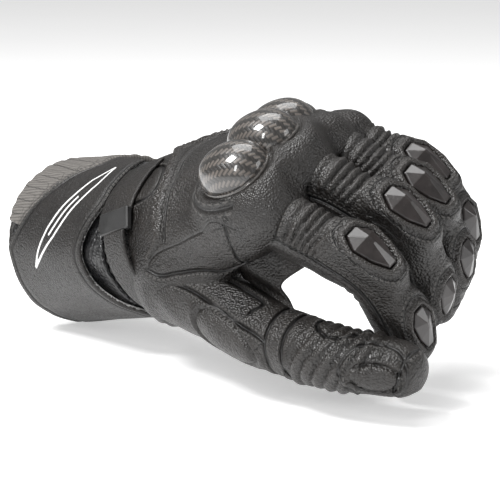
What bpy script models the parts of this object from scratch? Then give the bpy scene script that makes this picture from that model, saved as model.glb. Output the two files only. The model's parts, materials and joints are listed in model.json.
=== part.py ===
# Left motorcycle riding glove with a short gauntlet, curled as it is on a hand.
# World origin is the wrist centre, +X runs to the knuckles, +Y to the little finger, +Z to the back.
# Every digit is a chain of leather sleeves: each joint is an empty whose local Y is the hinge axis,
# local X runs along the sleeve and local Z points to the back of the finger.
import math

import bmesh
import bpy
import numpy as np
from mathutils import Euler, Matrix, Vector

# ---- Driving dimensions, in metres and degrees ----
GAP = 0.0004                    # air between neighbouring pieces
WALL = 0.0020                   # leather with its lining
FINGER_WIDTH = 0.92             # width of a finger against its height

HAND_PITCH = 20.0               # knuckles raised above the wrist
HAND_ROLL = 28.0                # little-finger side raised
WRIST_HALF_WIDTH = 0.0410
WRIST_HALF_HEIGHT = 0.0305
WRIST_RISE = 0.0020             # the wrist section sits this far above the joint
PALM_HALF_WIDTH = 0.0500
PALM_HALF_HEIGHT = 0.0135
PALM_CENTRE_Y = 0.0035
PALM_START = 0.0030             # where the hand shell begins, past the wrist joint
SEAM_ANGLE = 0.6                # half of the side seam between back and palm

KNUCKLE_SLOPE = 0.42            # mitre of the sleeves at the knuckles
KNUCKLE_SETBACK = 0.0052        # sleeve ends stand this far from the knuckle axis

FINGERS = {
    "index": {
        "knuckle": (0.0990, -0.0330, 0.0066),
        "lengths": (0.0506, 0.0297, 0.0300),
        "radii": (0.0130, 0.0121, 0.0112),
        "splay": -3.0,
        "flex": (48.0, 53.0, 32.0),
        "mitre": (0.31, 0.18),
        "setback": (0.0036, 0.0030),
        "studs": (0.93, 0.92),
    },
    "middle": {
        "knuckle": (0.1023, -0.0077, 0.0110),
        "lengths": (0.0550, 0.0340, 0.0310),
        "radii": (0.0130, 0.0121, 0.0112),
        "splay": 0.0,
        "flex": (52.0, 68.0, 41.0),
        "mitre": (0.52, 0.32),
        "setback": (0.0056, 0.0040),
        "studs": (0.88, 0.84),
    },
    "ring": {
        "knuckle": (0.0957, 0.0176, 0.0077),
        "lengths": (0.0517, 0.0319, 0.0305),
        "radii": (0.0125, 0.0116, 0.0108),
        "splay": 2.0,
        "flex": (55.0, 55.0, 33.0),
        "mitre": (0.44, 0.26),
        "setback": (0.0054, 0.0040),
        "studs": (0.90, 0.76),
    },
    "little": {
        "knuckle": (0.0858, 0.0407, 0.0000),
        "lengths": (0.0429, 0.0264, 0.0280),
        "radii": (0.0115, 0.0107, 0.0100),
        "splay": 5.0,
        "flex": (54.0, 46.0, 28.0),
        "mitre": (0.34, 0.20),
        "setback": (0.0048, 0.0036),
        "studs": (0.86, 0.76),
    },
}

THUMB_BASE = (0.0440, -0.0270, -0.0170)     # world, where the thumb leaves the palm
THUMB_KNUCKLE = (0.0980, -0.0320, -0.0270)
THUMB_JOINT = (0.1340, -0.0320, -0.0295)
THUMB_FLEX = 25.0
THUMB_TIP_LENGTH = 0.0380
THUMB_RADII = (0.0180, 0.0148, 0.0132)
THUMB_MITRE = (0.0, 0.16)
THUMB_SETBACK = (0.0050, 0.0036)
THUMB_CLEARANCE = 0.0010
THUMB_BASE_PAD = (0.0370, 18.0, (0.0250, 0.0160))  # station, turn round the sleeve, size
THUMB_PAD_SINK = 0.0008         # the base pad lies on the tapering sleeve
THUMB_TIP_PAD = (0.0225, 24.0, (0.0210, 0.0115))

STUD_LENGTHS = (0.0260, 0.0200)
STUD_WIDTHS = (0.0160, 0.0135)
STUD_HEIGHT = 0.0045

DOME_LENGTH = 0.0340
DOME_WIDTH = 0.0275
DOME_HEIGHT = 0.0105
DOME_SETBACKS = {"index": 0.0100, "middle": 0.0110, "ring": 0.0125, "little": 0.0142}
DOME_TILTS = {"index": 13.0, "middle": 1.0, "ring": -11.0, "little": -22.0}
DOME_SPREADS = {"index": 0.84, "middle": 0.84, "ring": 0.84, "little": 0.73}
DOME_PITCH = 6.0                # the back falls away towards the knuckles
DOME_RISE = 0.0062              # height of the guard's foot above the sleeves
DOME_SINKS = {"index": 0.0, "middle": 0.0008, "ring": 0.0022, "little": 0.0030}
DOME_SCALES = {"index": 1.0, "middle": 1.0, "ring": 0.93, "little": 0.84}
PAD_FINGERS = ("index", "middle", "ring")   # the back itself carries the little dome
PAD_MARGIN = 0.0040
PAD_THICKNESS = 0.0032
PAD_DROP = 0.0004               # middle of the pad below the foot of the guard
CORE_GAP = 0.0016               # the guard and its pad stand this far off the back

STRAP_SPAN = (0.0045, 0.0185)
STRAP_ARC = (145.0, 258.0)
STRAP_THICKNESS = 0.0020
STRAP_LIFT = 0.0028
LOOP_SIZE = (0.0200, 0.0100, 0.0030)
LOOP_SLOT = (0.0140, 0.0036)

WEB_THICKNESS = 0.0014
WEB_FINGER_SPAN = (0.005, 0.020)   # along the index finger from its knuckle
WEB_THUMB_SPAN = (0.036, 0.062)     # along the thumb from its base
WEB_SAG = 0.010

CUFF_END = (-0.0773, 0.0071, -0.0153)
CUFF_HALF_WIDTH = 0.0385
CUFF_HALF_HEIGHT = 0.0355
CUFF_TURN = (0.0, 11.2, -5.3)   # roll, pitch and yaw of the cuff's far end
CUFF_START = 0.13
CUFF_WALL = 0.0024
FLAP_ARC = (76.0, 254.0)
FLAP_FRONT = 0.07               # front edge, as a share of the cuff's length
FLAP_REAR = 0.94
FLAP_NOTCH = (166.0, 52.0, 0.17)    # centre and half width in degrees, and depth, of the front cut-out
FLAP_SEAM = (90.0, 175.0, 0.42)     # arc over which the rear edge runs back, and where it starts
FLAP_LIFT = 0.0032
FLAP_THICKNESS = 0.0024
SHOCK_ARC = (38.0, 156.0)
SHOCK_SETBACK = 0.02
SHOCK_LIFT = 0.0034
SHOCK_THICKNESS = 0.0028
SHOCK_RIBS = 6
SHOCK_RIB_HEIGHT = 0.0008
HEM_RADIUS = 0.0021

SIDES = 16                      # facets round a finger sleeve
HAND_STATIONS = (0.0, 0.22, 0.45, 0.66, 0.84, 1.0)
SHELL_SIDES = 14                # facets across half of the hand shell
CUFF_SIDES = 28
PAD_SIDES = 20
DOME_SIDES = 20
STRAP_SIDES = 12

MATERIALS = {
    "leather": ((0.030, 0.028, 0.027, 1.0), 0.48, 0.0),
    "leather_side": ((0.024, 0.022, 0.021, 1.0), 0.55, 0.0),
    "stretch": ((0.022, 0.020, 0.020, 1.0), 0.60, 0.0),
    "elastic": ((0.010, 0.010, 0.010, 1.0), 0.85, 0.0),
    "carbon": ((0.025, 0.024, 0.024, 1.0), 0.15, 0.2),
    "stud": ((0.020, 0.018, 0.018, 1.0), 0.22, 0.1),
    "shock": ((0.060, 0.056, 0.052, 1.0), 0.45, 0.0),
    "plastic": ((0.012, 0.012, 0.012, 1.0), 0.30, 0.0),
    "binding": ((0.018, 0.017, 0.017, 1.0), 0.65, 0.0),
}


# ---- Scene, materials and mesh helpers ----
def clear_scene():
    for obj in list(bpy.data.objects):
        bpy.data.objects.remove(obj, do_unlink=True)


def new_collection(name):
    made = bpy.data.collections.new(name)
    bpy.context.scene.collection.children.link(made)
    return made


def make_material(name):
    colour, roughness, metallic = MATERIALS[name]
    made = bpy.data.materials.new(name)
    made.use_nodes = True
    shader = made.node_tree.nodes["Principled BSDF"]
    shader.inputs["Base Color"].default_value = colour
    shader.inputs["Roughness"].default_value = roughness
    shader.inputs["Metallic"].default_value = metallic
    made.diffuse_color = colour
    return made


def add_empty(name, matrix, parent=None):
    made = bpy.data.objects.new(name, None)
    made.empty_display_size = 0.01
    made.parent = parent
    made.matrix_local = matrix
    GLOVE.objects.link(made)
    return made


def add_object(name, bm, material, parent, smooth=40.0, collection=None):
    bmesh.ops.recalc_face_normals(bm, faces=bm.faces)
    mesh = bpy.data.meshes.new(name)
    bm.to_mesh(mesh)
    bm.free()
    mesh.shade_smooth()
    mesh.set_sharp_from_angle(angle=math.radians(smooth))
    made = bpy.data.objects.new(name, mesh)
    made.parent = parent
    if material:
        mesh.materials.append(make_material_once(material))
    (collection or GLOVE).objects.link(made)
    return made


def make_material_once(name):
    return bpy.data.materials.get(name) or make_material(name)


def lerp(a, b, t):
    return a + (b - a) * t


def bridge(bm, first, second):
    count = len(first)
    for i in range(count):
        j = (i + 1) % count
        bm.faces.new((first[i], first[j], second[j], second[i]))


def close_ring(bm, ring, tip):
    for i in range(len(ring)):
        bm.faces.new((ring[i], ring[(i + 1) % len(ring)], tip))


def tube(outer, inner, outer_tip=None, inner_tip=None):
    """Hollow loft between rings of points. It is open at both ends, or closed at a fingertip."""
    bm = bmesh.new()
    outside = [[bm.verts.new(point) for point in ring] for ring in outer]
    inside = [[bm.verts.new(point) for point in ring] for ring in inner]
    for rings in (outside, inside):
        for first, second in zip(rings, rings[1:]):
            bridge(bm, first, second)
    bridge(bm, outside[0], inside[0])
    if outer_tip is None:
        bridge(bm, outside[-1], inside[-1])
    else:
        close_ring(bm, outside[-1], bm.verts.new(outer_tip))
        close_ring(bm, inside[-1], bm.verts.new(inner_tip))
    return bm


def patch(grid, outward):
    """Open skin through a grid of points, its faces turned the way of outward(point)."""
    bm = bmesh.new()
    rows = [[bm.verts.new(point) for point in row] for row in grid]
    for upper, lower in zip(rows, rows[1:]):
        for i in range(len(upper) - 1):
            bm.faces.new((upper[i], upper[i + 1], lower[i + 1], lower[i]))
    bm.normal_update()
    middle = bm.faces[:][len(bm.faces) // 2]
    if middle.normal.dot(Vector(outward(middle.calc_center_median()))) < 0:
        bmesh.ops.reverse_faces(bm, faces=bm.faces)
    return bm


def add_skin(name, bm, material, parent, thickness):
    """Object from an open skin, thickened inwards."""
    mesh = bpy.data.meshes.new(name)
    bm.to_mesh(mesh)
    bm.free()
    mesh.shade_smooth()
    mesh.materials.append(make_material_once(material))
    made = bpy.data.objects.new(name, mesh)
    made.parent = parent
    GLOVE.objects.link(made)
    solid = made.modifiers.new("thickness", "SOLIDIFY")
    solid.thickness = thickness
    solid.offset = -1.0
    solid.use_even_offset = True
    return made


def cut_away(obj, cutter):
    cutter.hide_render = True
    cutter.display_type = "WIRE"
    cut = obj.modifiers.new("opening", "BOOLEAN")
    cut.operation = "DIFFERENCE"
    cut.object = cutter


def bevel(obj, width, segments=2):
    made = obj.modifiers.new("edges", "BEVEL")
    made.width = width
    made.segments = segments
    made.limit_method = "ANGLE"
    made.angle_limit = math.radians(30)


# ---- Hand shell ----
def hand_matrix():
    return Euler((math.radians(HAND_ROLL), -math.radians(HAND_PITCH), 0.0)).to_matrix().to_4x4()


def arch_height(y):
    """Height of the line of knuckles above the wrist plane."""
    return 0.0110 - 5.2 * (y + 0.006) ** 2


def arch_reach(y):
    """How far forward the line of knuckles lies."""
    return 0.1018 - 6.0 * (y + 0.012) ** 2


def hand_point(along, angle, lift=0.0):
    """Point on the hand shell: along is 0 at the wrist and 1 at the knuckles."""
    turn = math.radians(angle)
    c, s = math.cos(turn), math.sin(turn)
    wide = lerp(0.92, 0.62, along)
    shape_c = math.copysign(abs(c) ** wide, c)
    shape_s = math.copysign(abs(s) ** wide, s)
    half_width = lerp(WRIST_HALF_WIDTH, PALM_HALF_WIDTH, along ** 0.8) + lift
    depth = along ** (1.4 if s > 0 else 1.7)
    half_height = lerp(WRIST_HALF_HEIGHT, PALM_HALF_HEIGHT + 0.0006, depth) + lift
    y = PALM_CENTRE_Y * along + half_width * shape_c
    arch = arch_height(y) * along
    z = arch + half_height * shape_s + WRIST_RISE * (1 - along)
    rim = arch_reach(y) - KNUCKLE_SETBACK - 0.0012 + KNUCKLE_SLOPE * half_height * shape_s
    start = PALM_START
    return Vector((lerp(start, rim, along), y, z))


def hand_grid(first, last, columns, stations, lift=0.0):
    angles = np.linspace(first, last, columns + 1)
    return [[hand_point(u, angle, lift) for angle in angles] for u in stations]


def make_hand_shell(hand):
    back = patch(
        hand_grid(SEAM_ANGLE, 180 - SEAM_ANGLE, SHELL_SIDES, HAND_STATIONS),
        lambda point: (0, 0, 1),
    )
    palm = patch(
        hand_grid(180 + SEAM_ANGLE, 360 - SEAM_ANGLE, SHELL_SIDES, HAND_STATIONS),
        lambda point: (0, 0, -1),
    )
    panels = [
        add_skin("hand_back_panel", back, "leather", hand, WALL),
        add_skin("palm_panel", palm, "leather_side", hand, WALL),
    ]
    cutter = thumb_cutter()
    for panel in panels:
        cut_away(panel, cutter)


# ---- Fingers ----
def finger_ring(x, slope, half_height, width=FINGER_WIDTH, sides=SIDES):
    """Ring round a sleeve, in a plane tilted by slope towards the back of the finger."""
    points = []
    for i in range(sides):
        turn = 2 * math.pi * i / sides
        z = half_height * math.sin(turn)
        points.append(Vector((x + slope * z, width * half_height * math.cos(turn), z)))
    return points


def sleeve(start, start_slope, end, end_slope, radius_start, radius_end):
    stations = np.linspace(0.0, 1.0, 3)
    outer, inner = [], []
    for t in stations:
        x = lerp(start, end, t)
        slope = lerp(start_slope, end_slope, t)
        radius = lerp(radius_start, radius_end, t)
        outer.append(finger_ring(x, slope, radius))
        inner.append(finger_ring(x, slope, radius - WALL))
    return tube(outer, inner)


def fingertip(start, slope, length, radius):
    profile = ((0.0, 1.0), (0.35, 1.0), (0.60, 0.95), (0.80, 0.80), (0.94, 0.50))
    outer, inner = [], []
    for t, scale in profile:
        x = lerp(start, length, t)
        outer.append(finger_ring(x, slope * (1 - t), radius * scale))
        inner.append(finger_ring(x - WALL * t, slope * (1 - t), radius * scale - WALL))
    return tube(outer, inner, Vector((length, 0, 0)), Vector((length - WALL, 0, 0)))


def bellows(flex, slope, setback, radius_start, radius_end, ribs=4):
    """Bent sleeve over a joint, in the frame of the sleeve before it, with its axis on the joint."""
    outer, inner = [], []
    spare = GAP / (2 * setback)
    for i in range(ribs + 1):
        t = lerp(spare, 1 - spare, i / ribs)
        turn = Matrix.Rotation(math.radians(flex) * t, 4, "Y")
        radius = lerp(radius_start, radius_end, t)
        x = lerp(-setback, setback, t)
        tilt = lerp(slope, -slope, t)
        outer.append([turn @ point for point in finger_ring(x, tilt, radius)])
        inner.append([turn @ point for point in finger_ring(x, tilt, radius - WALL)])
    return tube(outer, inner)


def make_stud(name, joint, station, height, length, width):
    bm = bmesh.new()
    bmesh.ops.create_cone(
        bm,
        cap_ends=True,
        segments=6,
        radius1=0.5,
        radius2=0.26,
        depth=1.0,
        matrix=Matrix.Diagonal((length, width / 0.866, STUD_HEIGHT, 1.0)),
    )
    made = add_object(name, bm, "stud", joint, smooth=10.0)
    made.location = (station, 0.0, height + GAP + STUD_HEIGHT / 2)
    bevel(made, 0.0006, 1)


def joint_frame(offset, flex, splay=0.0):
    turn = Euler((0.0, math.radians(flex), math.radians(splay))).to_matrix().to_4x4()
    return Matrix.Translation(offset) @ turn


def make_finger(name, hand):
    spec = FINGERS[name]
    lengths, radii = spec["lengths"], spec["radii"]
    slopes = (KNUCKLE_SLOPE,) + spec["mitre"]
    setbacks = (KNUCKLE_SETBACK,) + spec["setback"]
    flex = spec["flex"]

    base = add_empty(name + "_base_frame", joint_frame(spec["knuckle"], 0.0, spec["splay"]), hand)
    add_object(
        name + "_knuckle_bellows",
        bellows(flex[0], slopes[0], setbacks[0], radii[0], radii[0]),
        "stretch",
        base,
    )
    knuckle = add_empty(name + "_knuckle", joint_frame((0, 0, 0), flex[0]), base)
    middle = add_empty(name + "_mid_joint", joint_frame((lengths[0], 0, 0), flex[1]), knuckle)
    tip = add_empty(name + "_tip_joint", joint_frame((lengths[1], 0, 0), flex[2]), middle)

    names = ("_lower_sleeve", "_upper_sleeve")
    for i, joint in enumerate((knuckle, middle)):
        ends = (setbacks[i], -slopes[i], lengths[i] - setbacks[i + 1], slopes[i + 1])
        shape = sleeve(*ends, radii[i], lerp(radii[i], radii[i + 1], 0.7))
        add_object(name + names[i], shape, "leather", joint)
        height = lerp(radii[i], radii[i + 1], 0.6)
        station = lengths[i] * spec["studs"][i]
        stud = name + ("_lower_stud", "_upper_stud")[i]
        make_stud(stud, joint, station, height, STUD_LENGTHS[i], STUD_WIDTHS[i])
        folded = bellows(
            flex[i + 1],
            slopes[i + 1],
            setbacks[i + 1],
            lerp(radii[i], radii[i + 1], 0.7),
            radii[i + 1],
            3,
        )
        folded.transform(Matrix.Translation((lengths[i], 0, 0)))
        add_object(name + ("_mid_bellows", "_tip_bellows")[i], folded, "stretch", joint)
    add_object(
        name + "_fingertip",
        fingertip(setbacks[2], -slopes[2], lengths[2], radii[2]),
        "leather",
        tip,
    )


# ---- Thumb ----
def aimed_frame(start, end):
    """Frame with X from start to end and Z to the back of the thumb, which faces away from the palm."""
    along = (Vector(end) - Vector(start)).normalized()
    side = Vector((0, -1, 0)).cross(along).normalized()
    turn = Matrix((along, side, along.cross(side))).transposed().to_4x4()
    return Matrix.Translation(start) @ turn


def distance(start, end):
    return (Vector(end) - Vector(start)).length


def thumb_cutter():
    length = distance(THUMB_BASE, THUMB_KNUCKLE)
    bm = bmesh.new()
    bmesh.ops.create_cone(
        bm,
        cap_ends=True,
        segments=SIDES,
        radius1=THUMB_RADII[0] + THUMB_CLEARANCE,
        radius2=THUMB_RADII[1] + THUMB_CLEARANCE,
        depth=length + 2 * THUMB_CLEARANCE,
    )
    bm.transform(Matrix.Translation((length / 2, 0, 0)) @ Matrix.Rotation(math.pi / 2, 4, "Y"))
    made = add_object("thumb_hole_cutter", bm, None, None, collection=CUTTERS)
    made.matrix_local = aimed_frame(THUMB_BASE, THUMB_KNUCKLE)
    return made


def round_rings(stations, radii, inset=0.0):
    return [finger_ring(x, 0.0, radius - inset, 1.0) for x, radius in zip(stations, radii)]


def turned_bellows(start, end, ribs=4):
    """Short sleeve between two rings that face each other at an angle."""
    steps = [i / ribs for i in range(ribs + 1)]
    return [[a.lerp(b, t) for a, b in zip(start, end)] for t in steps]


def make_thumb_base(base, knuckle_matrix):
    length = distance(THUMB_BASE, THUMB_KNUCKLE) - THUMB_SETBACK[0]
    stations = [length * t for t in (0.0, 0.33, 0.66, 1.0)]
    radii = [lerp(THUMB_RADII[0], THUMB_RADII[1], t) for t in (0.0, 0.33, 0.66, 1.0)]
    shape = tube(round_rings(stations, radii), round_rings(stations, radii, WALL))
    add_object("thumb_base_sleeve", shape, "leather", base)
    skins = []
    for inset in (0.0, WALL):
        start = finger_ring(length + GAP, 0.0, THUMB_RADII[1] - inset, 1.0)
        end = finger_ring(THUMB_SETBACK[0] - GAP, 0.0, THUMB_RADII[1] - inset, 1.0)
        skins.append(turned_bellows(start, [knuckle_matrix @ point for point in end]))
    add_object("thumb_knuckle_bellows", tube(*skins), "stretch", base)


def make_thumb(root):
    base_matrix = aimed_frame(THUMB_BASE, THUMB_KNUCKLE)
    knuckle_matrix = base_matrix.inverted() @ aimed_frame(THUMB_KNUCKLE, THUMB_JOINT)
    base = add_empty("thumb_base_frame", base_matrix, root)
    knuckle = add_empty("thumb_knuckle", knuckle_matrix, base)
    make_thumb_base(base, knuckle_matrix)
    make_oval_pad("thumb_base_pad", base, THUMB_RADII[0] - THUMB_PAD_SINK, *THUMB_BASE_PAD)

    length = distance(THUMB_KNUCKLE, THUMB_JOINT)
    setback, slope, radii = THUMB_SETBACK, THUMB_MITRE, THUMB_RADII
    shape = sleeve(setback[0], 0.0, length - setback[1], slope[1], radii[1], radii[2])
    add_object("thumb_lower_sleeve", shape, "leather", knuckle)
    folded = bellows(THUMB_FLEX, slope[1], setback[1], radii[2], radii[2], 3)
    folded.transform(Matrix.Translation((length, 0, 0)))
    add_object("thumb_tip_bellows", folded, "stretch", knuckle)
    tip = add_empty("thumb_tip_joint", joint_frame((length, 0, 0), THUMB_FLEX), knuckle)
    shape = fingertip(setback[1], -slope[1], THUMB_TIP_LENGTH, radii[2])
    add_object("thumb_tip_sleeve", shape, "leather", tip)
    make_oval_pad("thumb_tip_pad", tip, radii[2], *THUMB_TIP_PAD)


def make_oval_pad(name, parent, height, station, turn, size):
    """Raised oval patch standing on the back of a thumb sleeve, turned round it by an angle."""
    bm = bmesh.new()
    bmesh.ops.create_cone(
        bm,
        cap_ends=True,
        segments=PAD_SIDES,
        radius1=0.5,
        radius2=0.42,
        depth=PAD_THICKNESS,
        matrix=Matrix.Diagonal((size[0], size[1], 1.0, 1.0)),
    )
    made = add_object(name, bm, "leather_side", parent, smooth=50.0)
    spin = Matrix.Rotation(math.radians(turn), 4, "X")
    made.matrix_local = spin @ Matrix.Translation((station, 0.0, height + GAP + PAD_THICKNESS / 2))


# ---- Knuckle guard ----
def dome_frame(name):
    x, y, _ = FINGERS[name]["knuckle"]
    tilt = Matrix.Rotation(math.radians(DOME_PITCH), 4, "Y")
    tilt @= Matrix.Rotation(math.radians(DOME_TILTS[name]), 4, "X")
    y = lerp(PALM_CENTRE_Y, y, DOME_SPREADS[name])
    height = arch_height(y) + FINGERS[name]["radii"][0] + DOME_RISE - DOME_SINKS[name]
    return Matrix.Translation((x - DOME_SETBACKS[name], y, height)) @ tilt


def dome_size(name, margin, height):
    scale = DOME_SCALES[name]
    return (scale * DOME_LENGTH / 2 + margin, scale * DOME_WIDTH / 2 + margin, height, 1.0)


def dome_mesh(name, margin):
    bm = bmesh.new()
    bmesh.ops.create_uvsphere(bm, u_segments=DOME_SIDES, v_segments=10, radius=1.0)
    geometry = bm.verts[:] + bm.edges[:] + bm.faces[:]
    bmesh.ops.bisect_plane(
        bm, geom=geometry, dist=1e-6, plane_co=(0, 0, 0), plane_no=(0, 0, 1), clear_inner=True
    )
    open_edges = [edge for edge in bm.edges if edge.is_boundary]
    bmesh.ops.contextual_create(bm, geom=open_edges)
    height = DOME_SCALES[name] * DOME_HEIGHT + margin
    bm.transform(Matrix.Diagonal(dome_size(name, margin, height)))
    return bm


def pad_mesh(name):
    bm = bmesh.new()
    bmesh.ops.create_cone(
        bm, cap_ends=True, segments=DOME_SIDES, radius1=1.0, radius2=1.0, depth=1.0
    )
    bm.transform(Matrix.Diagonal(dome_size(name, PAD_MARGIN, PAD_THICKNESS)))
    return bm


def joined(name, shapes, material, hand):
    """One body from overlapping shapes, each given with its frame in the hand."""
    first, *others = shapes
    whole = add_object(name, first[0], material, hand, smooth=35.0)
    whole.matrix_local = first[1]
    for i, (bm, matrix) in enumerate(others):
        lobe = add_object(name + "_lobe_" + str(i), bm, None, hand, collection=CUTTERS)
        lobe.matrix_local = matrix
        lobe.hide_render = True
        lobe.display_type = "WIRE"
        union = whole.modifiers.new("lobe", "BOOLEAN")
        union.operation = "UNION"
        union.object = lobe
    return whole


def make_knuckle_guard(hand):
    drop = Matrix.Translation((0, 0, -PAD_DROP))
    domes = [(dome_mesh(name, 0.0), dome_frame(name)) for name in FINGERS]
    pads = [(pad_mesh(name), dome_frame(name) @ drop) for name in PAD_FINGERS]
    guard = joined("knuckle_guard", domes, "carbon", hand)
    pad = joined("knuckle_pad", pads, "leather_side", hand)
    core = hand_core(hand)
    cut_away(pad, guard_clearance(hand))
    cut_away(pad, core)
    cut_away(guard, core)


def hand_core(hand):
    """Closed shape of the hand shell grown by a gap, which the guard and its pad are cut back from."""
    bm = bmesh.new()
    angles = [360.0 * i / (2 * SHELL_SIDES) for i in range(2 * SHELL_SIDES)]
    rings = []
    for u in HAND_STATIONS:
        rings.append([bm.verts.new(hand_point(u, angle, CORE_GAP)) for angle in angles])
    ahead = Vector((CORE_GAP, 0.0, 0.0))
    rings.append([bm.verts.new(vert.co + ahead) for vert in rings[-1]])
    for first, second in zip(rings, rings[1:]):
        bridge(bm, first, second)
    bm.faces.new(rings[0])
    bm.faces.new(rings[-1])
    return add_object("hand_core", bm, None, hand, collection=CUTTERS)


def guard_clearance(hand):
    """The guard's four lobes grown by a gap, which the pad under them is cut back from."""
    shapes = []
    for name in FINGERS:
        bm = dome_mesh(name, GAP)
        bm.transform(Matrix.Translation((0, 0, -GAP / 2)))
        shapes.append((bm, dome_frame(name)))
    whole = joined("guard_clearance", shapes, None, hand)
    GLOVE.objects.unlink(whole)
    CUTTERS.objects.link(whole)
    return whole


# ---- Wrist strap ----
def make_strap(hand):
    middle = sum(STRAP_SPAN) / 2
    length = arch_reach(0.0)
    stations = [(x - PALM_START) / (length - PALM_START) for x in STRAP_SPAN]
    grid = hand_grid(*STRAP_ARC, STRAP_SIDES, stations, STRAP_LIFT)
    for row, x in zip(grid, STRAP_SPAN):
        for point in row:
            point.x = x
    hinge = grid[0][-1].lerp(grid[1][-1], 0.5)
    frame = add_empty("strap_hinge", Matrix.Translation(hinge), hand)
    bm = patch(grid, lambda point: (0, point[1], point[2]))
    bm.transform(Matrix.Translation(-hinge))
    add_skin("wrist_strap", bm, "leather", frame, STRAP_THICKNESS)
    make_strap_loop(frame, hinge, middle)
    make_strap_keeper(hand, middle)


def make_strap_loop(frame, hinge, middle):
    u = (middle - PALM_START) / (arch_reach(0.0) - PALM_START)
    lift = STRAP_LIFT
    start = hand_point(u, STRAP_ARC[0], lift)
    ahead = hand_point(u, STRAP_ARC[0] - 4.0, lift)
    along = (ahead - start).normalized()
    along.x = 0
    along.normalize()
    normal = Vector((1, 0, 0)).cross(along)
    turn = Matrix((Vector((1, 0, 0)), along, normal)).transposed().to_4x4()
    centre = Vector((middle, start.y, start.z)) + along * (LOOP_SIZE[1] / 2 + 3 * GAP)
    bm = bmesh.new()
    bmesh.ops.create_cube(bm, size=1.0, matrix=Matrix.Diagonal((*LOOP_SIZE, 1.0)))
    loop = add_object("strap_loop", bm, "plastic", frame, smooth=30.0)
    loop.matrix_local = Matrix.Translation(centre - hinge) @ turn
    hole = bmesh.new()
    size = (LOOP_SLOT[0], LOOP_SLOT[1], 4 * LOOP_SIZE[2], 1.0)
    bmesh.ops.create_cube(hole, size=1.0, matrix=Matrix.Diagonal(size))
    cutter = add_object("loop_slot_cutter", hole, None, frame, collection=CUTTERS)
    cutter.matrix_local = loop.matrix_local
    cut_away(loop, cutter)
    bevel(loop, 0.0006, 1)


def make_strap_keeper(hand, middle):
    """Short tab sewn to the palm side, which the strap's sewn end meets."""
    length = arch_reach(0.0) - PALM_START
    span = (STRAP_SPAN[0], STRAP_SPAN[1])
    stations = [(x - PALM_START) / length for x in span]
    grid = hand_grid(STRAP_ARC[1] + 2.5, STRAP_ARC[1] + 22.0, 4, stations, STRAP_LIFT)
    for row, x in zip(grid, span):
        for point in row:
            point.x = x
    skin = patch(grid, lambda point: (0, point[1], point[2]))
    add_skin("strap_keeper", skin, "leather", hand, STRAP_THICKNESS)


# ---- Cuff ----
def cuff_point(along, angle, lift=0.0):
    """Point on the gauntlet: along is 0 at the wrist joint and 1 at its open end."""
    turn = math.radians(angle)
    widen = along ** 0.8
    half_width = lerp(WRIST_HALF_WIDTH, CUFF_HALF_WIDTH, widen) + lift
    half_height = lerp(WRIST_HALF_HEIGHT, CUFF_HALF_HEIGHT, widen) + lift
    roll, pitch, yaw = (lerp(a, b, along) for a, b in zip((HAND_ROLL, HAND_PITCH, 0.0), CUFF_TURN))
    frame = Euler((math.radians(roll), -math.radians(pitch), math.radians(yaw))).to_matrix()
    local = Vector((0.0, half_width * math.cos(turn), half_height * math.sin(turn)))
    return Vector(CUFF_END) * along + frame @ local


def cuff_ring(along, lift=0.0, sides=CUFF_SIDES):
    return [cuff_point(along, 360.0 * i / sides, lift) for i in range(sides)]


def outward_from_cuff(point):
    return (0.0, point[1], point[2] - CUFF_END[2] / 2)


def make_cuff_shell(cuff):
    end = 1.0 - (HEM_RADIUS + GAP) / Vector(CUFF_END).length
    stations = np.linspace(CUFF_START, end, 6)
    outer = [cuff_ring(u) for u in stations]
    inner = [cuff_ring(u, -CUFF_WALL) for u in stations]
    add_object("cuff_shell", tube(outer, inner), "leather_side", cuff)


def make_hem(cuff):
    """Bound edge round the open end: a closed curve with a round section."""
    curve = bpy.data.curves.new("cuff_hem", "CURVE")
    curve.dimensions = "3D"
    curve.bevel_depth = HEM_RADIUS
    curve.bevel_resolution = 1
    line = curve.splines.new("POLY")
    points = cuff_ring(1.0, -CUFF_WALL / 2)
    line.points.add(len(points) - 1)
    for target, point in zip(line.points, points):
        target.co = (*point, 1.0)
    line.use_cyclic_u = True
    curve.materials.append(make_material_once("binding"))
    made = bpy.data.objects.new("cuff_hem", curve)
    made.parent = cuff
    GLOVE.objects.link(made)


def make_wrist_elastic(cuff):
    """Gathered elastic sleeve between the hand shell and the gauntlet."""
    hand = hand_matrix()
    angles = [360.0 * i / CUFF_SIDES for i in range(CUFF_SIDES)]
    skins = []
    for inset in (0.0, WALL):
        start = [hand @ hand_point(0.0, angle, -inset) for angle in angles]
        back = hand.to_3x3() @ Vector((1, 0, 0)) * -GAP
        start = [point + back for point in start]
        end = [cuff_point(CUFF_START - 0.008, angle, -inset) for angle in angles]
        rings = turned_bellows(start, end, 4)
        for i in (1, 3):
            middle = sum(rings[i], Vector()) / len(rings[i])
            rings[i] = [middle + (point - middle) * 0.965 for point in rings[i]]
        skins.append(rings)
    add_object("wrist_elastic", tube(*skins), "elastic", cuff)


def flap_front(angle):
    centre, half, depth = FLAP_NOTCH
    off = min(1.0, abs(angle - centre) / half)
    return FLAP_FRONT + depth * 0.5 * (1 + math.cos(math.pi * off))


def flap_rear(angle):
    first, last, start = FLAP_SEAM
    along = min(1.0, max(0.0, (angle - first) / (last - first)))
    return lerp(start, FLAP_REAR, along)


def band_grid(arc, columns, rows, front, rear, lift):
    """Grid on the gauntlet whose front and rear edges vary with the angle."""
    grid = []
    for i in range(rows + 1):
        angles = np.linspace(*arc, columns + 1)
        grid.append([cuff_point(lerp(front(a), rear(a), i / rows), a, lift) for a in angles])
    return grid


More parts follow.
